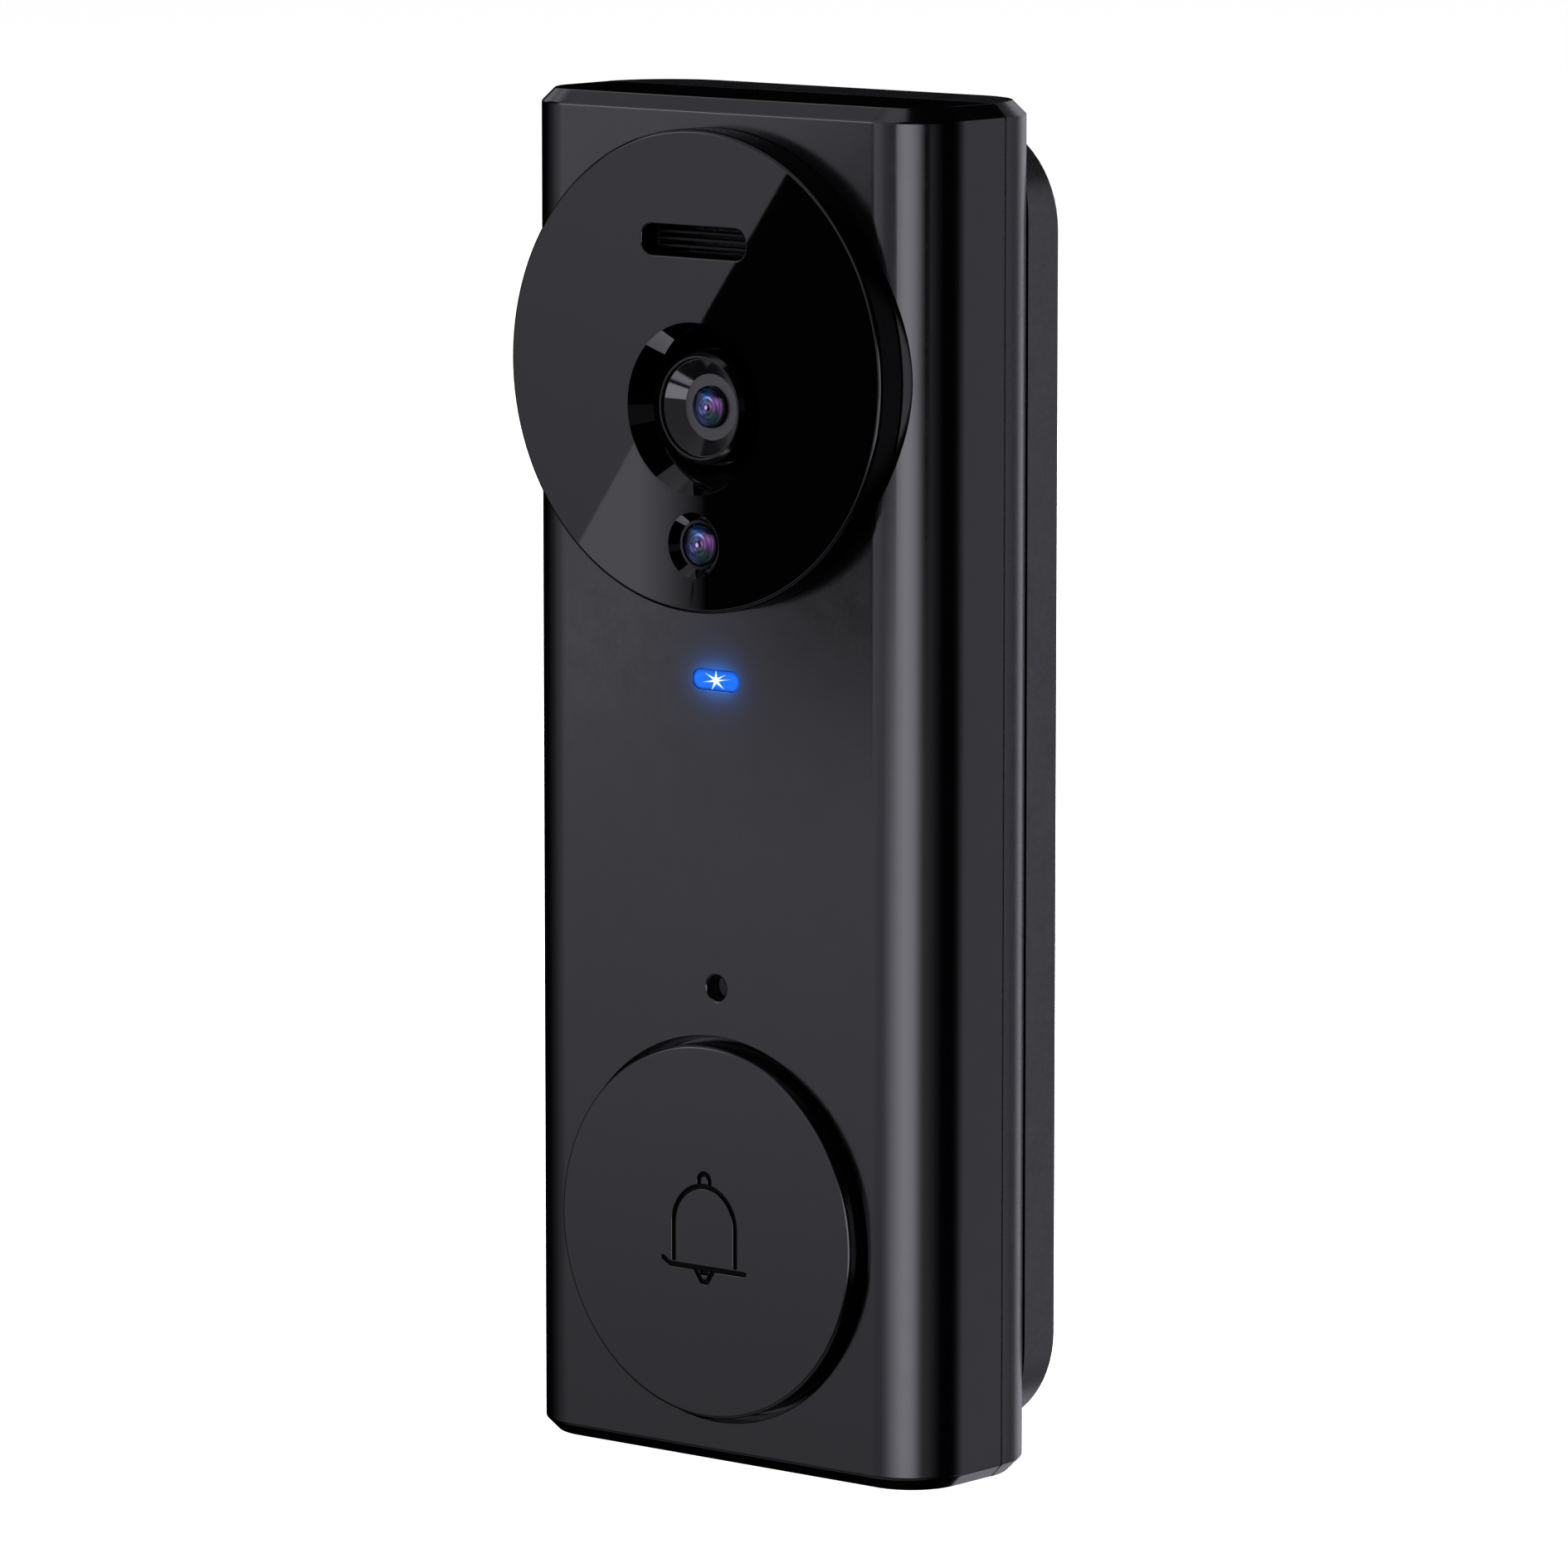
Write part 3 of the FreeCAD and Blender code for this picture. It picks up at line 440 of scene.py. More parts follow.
def patch_areas(build):
    """Area of the flat patch that each face belongs to, by face index."""
    areas = {}
    for face in build.faces:
        if face.index in areas:
            continue
        patch = {face.index: face}
        waiting = [face]
        while waiting:
            around = [other for edge in waiting.pop().edges for other in edge.link_faces]
            fresh = [other for other in around
                     if other.index not in patch and other.normal.dot(face.normal) > FLAT_COSINE]
            patch.update((other.index, other) for other in fresh)
            waiting += fresh
        total = sum(member.calc_area() for member in patch.values())
        areas.update((index, total) for index in patch)
    return areas


def smooth_normals(mesh):
    """Smooth shading in which a flat patch counts with its whole area, so that rims blend into it."""
    build = bmesh.new()
    build.from_mesh(mesh)
    areas = patch_areas(build)
    normals = []
    for face in build.faces:
        for loop in face.loops:
            near = [other for other in loop.vert.link_faces
                    if other.normal.dot(face.normal) > SMOOTH_COSINE]
            total = sum((other.normal * areas[other.index] for other in near), Vector())
            normals.append(total.normalized())
    build.free()
    mesh.shade_smooth()
    mesh.normals_split_custom_set(normals)


def new_piece(name, mesh, material):
    """Object made from a mesh in millimetres, smoothed and with its finish."""
    smooth_normals(mesh)
    mesh.transform(Matrix.Scale(MM, 4))
    mesh.materials.clear()
    mesh.materials.append(material)
    return linked(name, mesh)


def put(name, mesh, slot, *nodes, material=None, body="doorbell"):
    """Places a mesh in the frame as a piece that stands for the CAD nodes named."""
    piece = new_piece(name, mesh, material or FINISHES[slot])
    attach(piece, body)
    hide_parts(*nodes)
    return piece


def paint(piece, material, wanted):
    """Gives a second material to the faces for which wanted(centre in millimetres, normal) is true."""
    mesh = piece.data
    mesh.materials.append(material)
    for polygon in mesh.polygons:
        if wanted(polygon.center / MM, polygon.normal):
            polygon.material_index = 1


# ------
# Material building

def new_material(name, **values):
    """Principled material with constants set on the shader's own sockets."""
    material = bpy.data.materials.new(name)
    material.use_nodes = True
    shader = material.node_tree.nodes["Principled BSDF"]
    for socket, value in values.items():
        shader.inputs[socket.replace("_", " ")].default_value = value
    return material, material.node_tree, shader


def node(tree, kind, links=(), **settings):
    """New node with inputs linked or set, by name or number."""
    made = tree.nodes.new("ShaderNode" + kind)
    for key, value in settings.items():
        setattr(made, key, value)
    for key, value in links:
        if isinstance(value, bpy.types.NodeSocket):
            tree.links.new(value, made.inputs[key])
        else:
            made.inputs[key].default_value = value
    return made


def place_coordinates(tree):
    return node(tree, "TexCoord").outputs["Object"]


def noise(tree, size, detail=2.0):
    """Noise whose features are about size millimetres across."""
    links = [("Vector", place_coordinates(tree)), ("Scale", 1 / (size * MM)), ("Detail", detail)]
    return node(tree, "TexNoise", links).outputs["Fac"]


def spread(tree, factor, low, high):
    """Remaps the middle of a texture's range to values between low and high."""
    links = [("Value", factor), ("From Min", 0.3), ("From Max", 0.7), ("To Min", low), ("To Max", high)]
    return node(tree, "MapRange", links).outputs["Result"]


def ramp(tree, factor, stops):
    """Colour that changes along a list of (position, colour) stops."""
    made = node(tree, "ValToRGB", [("Fac", factor)])
    elements = made.color_ramp.elements
    while len(elements) < len(stops):
        elements.new(0.5)
    for element, (position, colour) in zip(elements, stops):
        element.position = position
        element.color = (*colour, 1)
    return made.outputs["Color"]


def shaded(tree, shader, factor, dark, light):
    """Links the base colour to a blend between two colours."""
    tree.links.new(ramp(tree, factor, [(0.3, dark), (0.7, light)]), shader.inputs["Base Color"])


def bumped(tree, shader, height, depth):
    """Links the normal to a bump of a given depth in millimetres."""
    links = [("Height", height), ("Distance", depth * MM), ("Strength", 1.0)]
    bump = node(tree, "Bump", links)
    tree.links.new(bump.outputs["Normal"], shader.inputs["Normal"])


def mixed(tree, factor, first, second, blend="MIX"):
    """Colour between two others, or their product with blend MULTIPLY."""
    return node(tree, "Mix", [("Factor", factor), (6, first), (7, second)], data_type="RGBA",
                blend_type=blend).outputs[2]


def product(tree, first, second):
    return node(tree, "Math", [(0, first), (1, second)], operation="MULTIPLY").outputs[0]


def times(colour, factor):
    return tuple(channel * factor for channel in colour)


def moulded(name, look):
    """Moulded plastic, rubber or foam: fine grain, faint mottling and uneven gloss."""
    material, tree, shader = new_material(name, Specular_IOR_Level=look.specular, Coat_Weight=look.coat)
    least, most = 1 - UNEVENNESS, 1 + UNEVENNESS
    cloud = noise(tree, look.mottle, 3.0)
    shaded(tree, shader, cloud, times(look.colour, least), times(look.colour, most))
    smear = product(tree, noise(tree, look.grain * 3), noise(tree, look.mottle / 3, 4.0))
    links = [("Value", smear), ("From Min", 0.1), ("From Max", 0.45),
             ("To Min", look.roughness * least), ("To Max", look.roughness * most)]
    tree.links.new(node(tree, "MapRange", links).outputs["Result"], shader.inputs["Roughness"])
    bumped(tree, shader, noise(tree, look.grain), look.depth)
    return material


def metal(name, colour, roughness, line=0.15, stretch=(1, 1, 12)):
    """Rolled or turned metal with fine lines and a little tarnish."""
    material, tree, shader = new_material(name, Metallic=1.0)
    scaled = node(tree, "Mapping", [("Vector", place_coordinates(tree)), ("Scale", stretch)])
    links = [("Vector", scaled.outputs[0]), ("Scale", 1 / (line * MM * max(stretch))), ("Detail", 3.0)]
    lines = node(tree, "TexNoise", links).outputs["Fac"]
    shaded(tree, shader, noise(tree, 2.5, 3.0), times(colour, 0.82), colour)
    rough = spread(tree, lines, roughness * 0.8, roughness * 1.3)
    tree.links.new(rough, shader.inputs["Roughness"])
    bumped(tree, shader, lines, 0.003)
    return material


def circuit_board(name):
    """Solder mask over copper traces, with scattered pads."""
    material, tree, shader = new_material(name, Coat_Weight=0.3, Coat_Roughness=0.2)
    turned_axes = node(tree, "Mapping", [("Vector", place_coordinates(tree)),
                                         ("Rotation", (math.pi / 2, 0, 0))])
    links = [("Vector", turned_axes.outputs[0]), ("Scale", 420.0), ("Mortar Size", 0.05),
             ("Color1", (0.004, 0.055, 0.022, 1)), ("Color2", (0.005, 0.075, 0.03, 1)),
             ("Mortar", (0.012, 0.14, 0.05, 1))]
    traces = node(tree, "TexBrick", links, offset=0.37, squash=0.6)
    links = [("Vector", place_coordinates(tree)), ("Scale", 380.0), ("Randomness", 0.6)]
    pads = node(tree, "TexVoronoi", links).outputs["Distance"]
    on_pad = node(tree, "Math", [(0, pads), (1, 0.13)], operation="LESS_THAN").outputs[0]
    plated = mixed(tree, on_pad, traces.outputs["Color"], (0.6, 0.5, 0.24, 1))
    tree.links.new(plated, shader.inputs["Base Color"])
    tree.links.new(on_pad, shader.inputs["Metallic"])
    tree.links.new(spread(tree, noise(tree, 0.5), 0.3, 0.45), shader.inputs["Roughness"])
    bumped(tree, shader, traces.outputs["Fac"], 0.03)
    return material


def woven(name, colour, pitch):
    """Fine woven wire mesh with threads along X and Z."""
    material, tree, shader = new_material(name, Metallic=1.0, Roughness=0.4)
    links = [("Vector", place_coordinates(tree)), ("Scale", 0.314 / (pitch * MM)), ("Distortion", 0.3)]
    waves = [node(tree, "TexWave", links, bands_direction=way).outputs["Fac"] for way in ("X", "Z")]
    weave = product(tree, *waves)
    shaded(tree, shader, weave, times(colour, 0.12), colour)
    bumped(tree, shader, weave, pitch * 0.3)
    return material


def flat_cable(name):
    """Amber film over fine copper lines."""
    material, tree, shader = new_material(name, Roughness=0.25, Coat_Weight=0.5)
    links = [("Vector", place_coordinates(tree)), ("Scale", 500.0)]
    lines = node(tree, "TexWave", links, bands_direction="X").outputs["Fac"]
    shaded(tree, shader, lines, (0.16, 0.055, 0.008), (0.5, 0.24, 0.05))
    bumped(tree, shader, lines, 0.02)
    return material


def clear_glass(name):
    material, tree, shader = new_material(name, Transmission_Weight=1.0, IOR=1.52, Coat_Weight=0.3)
    tree.links.new(spread(tree, noise(tree, 1.5), 0.0, 0.02), shader.inputs["Roughness"])
    shaded(tree, shader, noise(tree, 3.0), (0.86, 0.93, 1.0), (0.95, 0.99, 1.0))
    return material


def sensor_grid(name):
    """Image sensor: fine grid with a coloured sheen."""
    material, tree, shader = new_material(name, Metallic=0.8, Roughness=0.15, Coat_Weight=1.0)
    links = [("Vector", place_coordinates(tree)), ("Scale", 9000.0),
             ("Color1", (0.05, 0.12, 0.1, 1)), ("Color2", (0.12, 0.05, 0.14, 1))]
    cells = node(tree, "TexChecker", links)
    tree.links.new(cells.outputs["Color"], shader.inputs["Base Color"])
    bumped(tree, shader, cells.outputs["Fac"], 0.005)
    return material


def offsets(tree, centre):
    """Distance across and up from the middle of a place."""
    shift = node(tree, "Mapping", [("Vector", place_coordinates(tree)),
                                   ("Location", (-centre.middle.x * MM, 0, -centre.middle.z * MM))])
    parts = node(tree, "SeparateXYZ", [(0, shift.outputs[0])]).outputs
    return parts["X"], parts["Z"]


def length_of(tree, across, up):
    flat = node(tree, "CombineXYZ", [("X", across), ("Y", up)]).outputs[0]
    return node(tree, "VectorMath", [(0, flat)], operation="LENGTH").outputs["Value"]


# Painted reflections of a coated lens: its colours round its axis, as shares of a turn from the left,
# through below, and how bright its painted rings of reflection are from the middle outwards
LENS_REFLECTION_COLOURS = [
    (0.00, (0.05, 0.12, 0.55)), (0.10, (0.26, 0.28, 0.95)), (0.17, (0.20, 0.22, 0.80)),
    (0.27, (0.01, 0.09, 0.14)), (0.38, (0.02, 0.17, 0.15)), (0.50, (0.34, 0.08, 0.46)),
    (0.62, (0.46, 0.22, 0.70)), (0.74, (0.06, 0.30, 0.85)), (0.86, (0.015, 0.06, 0.26)),
    (1.00, (0.05, 0.12, 0.55)),
]
LENS_REFLECTION_RINGS = [
    (0.00, 1.0), (0.16, 0.06), (0.26, 0.75), (0.36, 0.05), (0.47, 0.85), (0.57, 0.10),
    (0.70, 0.70), (0.78, 0.35), (0.86, 0.80), (0.93, 0.08), (1.00, 0.02),
]


def coated_glass(name, centre, radius):
    """Multi-coated lens under a clear hard coat, with painted reflections: broken rings of interference
    colour about its axis and a pale painted highlight dot in its middle.
    """
    material, tree, shader = new_material(name, Metallic=0.9, Coat_Weight=0.6, Coat_Roughness=0.03)
    across, up = offsets(tree, centre)
    share = product(tree, length_of(tree, across, up), 1 / (radius * MM))
    angle = node(tree, "Math", [(0, up), (1, across)], operation="ARCTAN2").outputs[0]
    links = [("Value", angle), ("From Min", -math.pi), ("From Max", math.pi)]
    turn = node(tree, "MapRange", links).outputs[0]
    reflection_wheel = ramp(tree, turn, LENS_REFLECTION_COLOURS)
    rings = ramp(tree, share, [(position, (bright,) * 3) for position, bright in LENS_REFLECTION_RINGS])
    arcs_at = node(tree, "CombineXYZ", [("X", angle), ("Y", product(tree, share, 5.0))]).outputs[0]
    arcs = node(tree, "TexNoise", [("Vector", arcs_at), ("Scale", 0.9), ("Detail", 1.0)]).outputs["Fac"]
    broken = ramp(tree, arcs, [(0.36, (0.12, 0.12, 0.12)), (0.62, (1.25, 1.25, 1.25))])
    colour = mixed(tree, 1.0, mixed(tree, 1.0, reflection_wheel, rings, "MULTIPLY"), broken, "MULTIPLY")
    # painted highlight: a pale dot in the middle of the lens
    dot = ramp(tree, share, [(0.0, (1, 1, 1)), (0.07, (0.8, 0.8, 0.8)), (0.13, (0, 0, 0)),
                             (1.0, (0, 0, 0))])
    tree.links.new(mixed(tree, dot, colour, (0.80, 0.52, 0.95, 1)), shader.inputs["Base Color"])
    tree.links.new(spread(tree, noise(tree, 0.8), 0.10, 0.16), shader.inputs["Roughness"])
    return material


def lit(name, light, reach, stops, specular, straight=0.0):
    """Light whose colour changes outwards from a place, beyond a straight part of it in the middle."""
    material, tree, shader = new_material(name, Base_Color=(0, 0, 0, 1), Roughness=0.3,
                                          Specular_IOR_Level=specular, Emission_Strength=1.0)
    across, up = offsets(tree, light)
    apart = node(tree, "Math", [(0, across)], operation="ABSOLUTE").outputs[0]
    beyond = node(tree, "Math", [(0, apart), (1, straight * MM)], operation="SUBTRACT").outputs[0]
    out = node(tree, "Math", [(0, beyond), (1, 0.0)], operation="MAXIMUM").outputs[0]
    share = product(tree, length_of(tree, out, up), 1 / (reach * MM))
    tree.links.new(ramp(tree, share, stops), shader.inputs["Emission Color"])
    return material


FINISHES = {name: moulded(name, look) for name, look in PLASTICS.items()}
FINISHES |= {
    "shield_tin": metal("shield_tin", (0.62, 0.61, 0.58), 0.3),
    "screw_steel": metal("screw_steel", (0.42, 0.42, 0.43), 0.28, stretch=(6, 1, 1)),
    "spring_steel": metal("spring_steel", (0.55, 0.54, 0.52), 0.22, line=0.1),
    "board_green": circuit_board("board_green"),
    "mesh_steel": woven("mesh_steel", (0.30, 0.30, 0.31), 0.16),
    "flex_amber": flat_cable("flex_amber"),
    "clear_glass": clear_glass("clear_glass"),
    "sensor_chip": sensor_grid("sensor_chip"),
}


# ------
# Housing

def plan(inset, z, front, half, back, bevel):
    """Cross-section of the housing ahead of a plane, moved in by inset, at one height."""
    across, deep = half - FRONT_RADIUS, front + FRONT_RADIUS
    radius = FRONT_RADIUS - inset
    side = half - inset
    outline = arc((-across, deep), radius, 180, 270, CORNER_STEPS)
    outline += arc((across, deep), radius, -90, 0, CORNER_STEPS)
    outline += [Vector((side, back - bevel)), Vector((side - bevel, back))]
    outline += [Vector((bevel - side, back)), Vector((-side, back - bevel))]
    return [Vector((point.x, point.y, z)) for point in outline]


def housing_front(shell, seam):
    """Outside of the front shell as one solid block, with chamfered ends and a soft edge at the seam."""
    top = shell.high.z
    ends = rounded([(0, 0), (0, top - END_CHAMFER), (END_CHAMFER, top), (2 * END_CHAMFER, top)],
                   EDGE_SOFTNESS, closed=False)[1:]
    levels = [(inset, -z) for inset, z in reversed(ends)] + [(inset, z) for inset, z in ends]
    loops = []
    for inset, z in levels:
        back = seam - max(0.0, abs(z) - (top - SEAM_BEVEL))
        loops.append(plan(inset, z, shell.low.y, shell.high.x, back, SEAM_BEVEL))
    return solid(loops)


def port_cuts(cover, reset):
    """Seat of the charging port's cover, its knuckle groove, fingernail notch and opening, and the
    reset hole."""
    bottom = cover.low.z
    low = bottom - MARGIN
    through = (low, bottom + WALL + PAST_WALL)
    hinge = cover.low.x + PORT_HINGE
    across = (cover.low.y - MOVING_GAP, cover.high.y + MOVING_GAP)
    groove, groove_depth = PORT_GROOVE
    notch, notch_past, notch_depth = PORT_NOTCH
    width, height = PORT_OPENING
    return [
        box_solid((hinge, cover.high.x + MOVING_GAP), across, (low, bottom + PORT_SEAT_DEPTH)),
        box_solid((hinge - groove, hinge + groove), across, (low, bottom + groove_depth)),
        upright_rod(notch, cover.high.x + notch_past, cover.middle.y, (low, bottom + notch_depth)),
        box_solid((-width, width), (cover.middle.y - height, cover.middle.y + height), through),
        upright_rod(RESET_HOLE_RADIUS, reset.middle.x, reset.middle.y, through),
    ]


def make_front_shell():
    shell = place("front_shell")
    seam = place("rear_shell").low.y
    disk = place("camera_cover")
    lens = place("lens_bezel")
    front, top, half = shell.low.y, shell.high.z, shell.high.x
    mesh = housing_front(shell, seam)
    edge = [(disk.size.x / 2, front + CLEAR), (disk.size.x / 2, front + FRONT_RADIUS)]
    mesh = combined(mesh, [turned(edge, disk.middle.z, ring=False)], "UNION")
    cavity = [plan(WALL, z, front, half, seam + PAST_SEAM, 0.0) for z in (WALL - top, top - WALL)]

    width, height = (size + 2 * FIT for size in LIGHT_SIZE)
    holes = (
        (round_hole(lens.size.x / 2 - LENS_HOLE_INSET, lens.middle.z), 0.0),
        (round_hole(LOWER_LENS_HOLE_RADIUS, place("lower_bezel").middle.z), 0.0),
        (pill_hole(*SPEAKER_HOLE, place("speaker_grille").middle.z), 0.0),
        (pill_hole(width, height, LIGHT_SIZE[1] / 2 + FIT, place("status_light_pipe").middle.z),
         LIGHT_RIM),
        (round_hole(MIC_HOLE_RADIUS, MIC_HOLE_Z), MIC_HOLE_RIM),
        (round_hole(BUTTON_HOLE_RADIUS, place("bell_button").middle.z), RIM_EDGE),
    )
    deep = front + WALL + MARGIN
    cuts = [solid(cavity)] + [opening(hole, front, deep, rim) for hole, rim in holes]
    cuts += port_cuts(place("usb_cover"), place("reset_button"))
    put("front_shell_body", combined(mesh, cuts), "shell_gloss", "front_shell")


def make_camera_cover():
    disk = place("camera_cover")
    grille = place("speaker_grille")
    front, back, radius = disk.low.y, disk.high.y, disk.size.x / 2
    side = rounded([(0.5 * radius, front), (radius, front), (radius, back), (0.5 * radius, back)],
                   COVER_EDGE, closed=False, steps=8)
    mesh = turned(side, disk.middle.z, ring=False, steps=192)
    far = back + MARGIN
    cuts = [opening(round_hole(bezel.size.x / 2 + SEAT, bezel.middle.z), front, far)
            for bezel in (place("lens_bezel"), place("lower_bezel"))]
    slot = pill_hole(grille.size.x + 4 * FIT, grille.size.z + 4 * FIT, SLOT_CORNER, grille.middle.z)
    cuts.append(opening(slot, front, far, SLOT_EDGE))
    cover = put("camera_cover_disk", combined(mesh, cuts), "cover_gloss", "camera_cover")
    # painted shade: the disk's rim and side wall get a darker, barely glossy copy of the cover's plastic
    paint(cover, FINISHES["cover_rim_painted_shade"], lambda centre, normal: abs(normal.y) < COVER_FACE_COSINE)


def make_speaker_grille():
    grille = place("speaker_grille")
    rim = GRILLE_RIM[-1][0]
    outline = pill_hole(grille.size.x - 2 * rim, grille.size.z - 2 * rim, GRILLE_CORNER, grille.middle.z)
    levels = GRILLE_RIM + ((rim, grille.size.y),)
    mesh = solid([at_depth(outline(grow), grille.low.y + deep) for grow, deep in levels])
    cuts = []
    for up, tall in SLOT_GAPS:
        hole = pill_hole(SLOT_GAP_LENGTH, tall, 0.45 * tall, grille.middle.z + up)
        cuts.append(opening(hole, grille.low.y, grille.high.y + MARGIN, SLOT_GAP_RIM))
    put("speaker_grille_ribs", combined(mesh, cuts), "grille_plastic", "speaker_grille")


# ------
# Lenses

def make_lens_bezel():
    bezel = place("lens_bezel")
    barrel = place("lens_barrel")
    outer, front, back = bezel.size.x / 2, bezel.low.y, bezel.high.y
    inner = barrel.size.x / 2 + MOVING_GAP
    floor = front + FUNNEL_DEPTH
    profile = [(outer - FUNNEL_RIM, front), (outer, front), (outer, back), (inner, back),
               (inner, floor + FUNNEL_FOOT), (inner + FUNNEL_FOOT, floor)]
    put("lens_bezel_ring", turned(profile, bezel.middle.z), "cover_gloss", "lens_bezel")


def make_lens_barrel():
    barrel = place("lens_barrel")
    outer, front, back = barrel.size.x / 2, barrel.low.y, barrel.high.y
    bore = outer - BARREL_WALL
    seat = place("lens_retainer").high.y
    hole, inside, end = BARREL_REAR
    profile = [(bore, front), (bore + BARREL_LIP, front), (outer, front + BARREL_BEVEL), (outer, back),
               (hole, back), (hole, back - end), (inside, back - end), (inside, seat), (bore, seat)]
    put("lens_barrel_tube", turned(rounded(profile, LENS_PART_SOFTNESS), barrel.middle.z), "barrel_black",
        "lens_barrel")


def make_lens_retainer():
    retainer = place("lens_retainer")
    outer, front, back = retainer.size.x / 2, retainer.low.y + RETAINER_INSET, retainer.high.y
    inner, ring = RETAINER_RING
    floor = front + RETAINER_DEPTH
    profile = [(outer, front), (outer, back), (inner, back), (inner, floor), (ring, floor),
               (outer - RETAINER_RIM, front)]
    cone = put("lens_retainer_cone", turned(rounded(profile, RETAINER_SOFTNESS), retainer.middle.z),
               "barrel_black", "lens_retainer", material=FINISHES["retainer_satin"])
    paint(cone, FINISHES["ring_satin"],
          lambda centre, normal: normal.y < -0.9 and centre.y > floor - 0.2)


def dome(radius, sphere, apex, rings=16):
    """(radius, depth) points of a round glass's front, from near its middle outwards."""
    edge = math.asin(radius / sphere)
    angles = [edge * step / rings for step in range(1, rings + 1)]
    return [(sphere * math.sin(angle), apex + sphere * (1 - math.cos(angle))) for angle in angles]


def make_front_lens():
    lens = place("front_lens")
    radius = RETAINER_RING[0] - 2 * FIT
    flange = lens.size.x / 2
    step = lens.high.y - LENS_FLANGE
    profile = dome(radius, LENS_SPHERE, lens.low.y)
    profile += [(radius, step), (flange, step), (flange, lens.high.y)]
    put("front_lens_glass", turned(profile, lens.middle.z, ring=False), "coated_glass", "front_lens",
        material=coated_glass("front_lens_painted_reflections", lens, radius))


def make_lower_lens():
    bezel = place("lower_bezel")
    lens = place("lower_lens")
    outer, front, back = bezel.size.x / 2, bezel.low.y, bezel.high.y
    radius = lens.size.x / 2
    inner = radius + 2 * FIT
    floor = front + LOWER_FUNNEL_DEPTH
    profile = [(outer - LOWER_FUNNEL_RIM, front), (outer, front), (outer, back), (inner, back),
               (inner, floor), (LOWER_FUNNEL_FLOOR, floor)]
    put("lower_bezel_ring", turned(profile, bezel.middle.z), "cover_gloss", "lower_bezel")
    profile = dome(radius, LENS_SPHERE, lens.low.y) + [(radius, lens.high.y)]
    put("lower_lens_glass", turned(profile, lens.middle.z, ring=False), "coated_glass", "lower_lens",
        material=coated_glass("lower_lens_painted_reflections", lens, radius))


# ------
# Front controls

def star(z):
    """Outline of the painted lens flare's star, with a thin ray to each listed tip."""
    tips = sorted((Vector(tip) for tip in FLARE_RAYS), key=lambda tip: math.atan2(tip.y, tip.x))
    points = []
    for tip, following in zip(tips, tips[1:] + tips[:1]):
        between_them = (tip.normalized() + following.normalized()).normalized() * FLARE_CORE
        points += [tip, between_them]
    return [Vector((point.x, point.y + z)) for point in points]


def make_status_light():
    """Lit blue light guide, and in front of it a glowing star: a painted lens flare of its lamp."""
    pipe = place("status_light_pipe")
    width, height = LIGHT_SIZE
    body = pill_hole(width, height, height / 2 - CLEAR, pipe.middle.z)
    wide = (pipe.size.x - width) / 2
    front = pipe.low.y
    flange = front + WALL
    levels = [(grow, front + deep) for grow, deep in LIGHT_EDGE]
    levels += [(0.0, flange), (wide, flange), (wide, flange + LIGHT_FLANGE), (0.0, flange + LIGHT_FLANGE),
               (0.0, pipe.high.y)]
    blue = lit("status_glow", pipe, height / 2, GUIDE_COLOURS, 0.1, straight=(width - height) / 2)
    put("status_light_lens", solid([at_depth(body(grow), y) for grow, y in levels]), "light_guide",
        "status_light_pipe", material=blue)
    # painted lens flare: a thin star that glows white in the middle and blue towards its tips
    rays = star(pipe.middle.z)
    put("status_light_painted_flare", solid([at_depth(rays, y) for y in (front, front + PAINTED_FLARE_THICKNESS)]),
        "light_guide", "status_light_pipe", material=lit("painted_flare_glow", pipe, FLARE_REACH, PAINTED_FLARE_COLOURS, 0.0))


def bell_paths(z):
    """Generic bell: domed body, small loop on top, rim with a turned-up end, and clapper."""
    side, shoulder, foot = 4.1, z + 0.65, z - 3.15
    body = [Vector((side, foot))] + arc((0, shoulder), side, 0, 180, 32) + [Vector((-side, foot))]
    size, top, neck = 0.7, z + 5.35, z + 4.85
    loop = [Vector((size, neck))] + arc((0, top), size, 0, 180, 12) + [Vector((-size, neck))]
    rim = z - 3.75
    edge = [Vector((-5.55, rim + 0.55)), Vector((-4.6, rim)), Vector((5.35, rim))]
    clapper = [(-1.3, rim), (-0.35, rim - 1.4), (0.35, rim - 1.4), (1.3, rim)]
    tongue = [Vector((-0.35, rim - 0.45)), Vector((0.35, rim - 0.45))]
    return [body, loop, edge, rounded(clapper, 0.35, closed=False), tongue]


def make_bell_button():
    button = place("bell_button")
    z, front, back = button.middle.z, button.low.y, button.high.y
    flange = button.size.x / 2
    face = front + BUTTON_FACE
    rear = back - BUTTON_FLANGE
    profile = rounded([(BUTTON_RADIUS - 2, front), (BUTTON_RADIUS, front), (BUTTON_RADIUS, rear)],
                      BUTTON_EDGE, closed=False, steps=10)
    profile += [(flange, rear), (flange, back), (BUTTON_SKIRT, back), (BUTTON_SKIRT, face),
                (BUTTON_HUB, face), (BUTTON_HUB, back - BUTTON_HUB_GAP)]
    mesh = turned(profile, z, ring=False, steps=192)
    half = ICON_STROKE / 2
    floor = front + ICON_DEPTH
    cuts = [opening(lambda grow, path=path: widened(path, half + grow), front, floor, ICON_EDGE)
            for path in bell_paths(z)]
    cap = put("bell_button_cap", combined(mesh, cuts), "button_satin", "bell_button", body="bell_button")
    middle = Vector((0, front, z))
    paint(cap, FINISHES["engraving"], lambda centre, normal: (centre - middle).length < ICON_REACH
          and front + 0.5 * ICON_EDGE < centre.y < floor + SEAT)


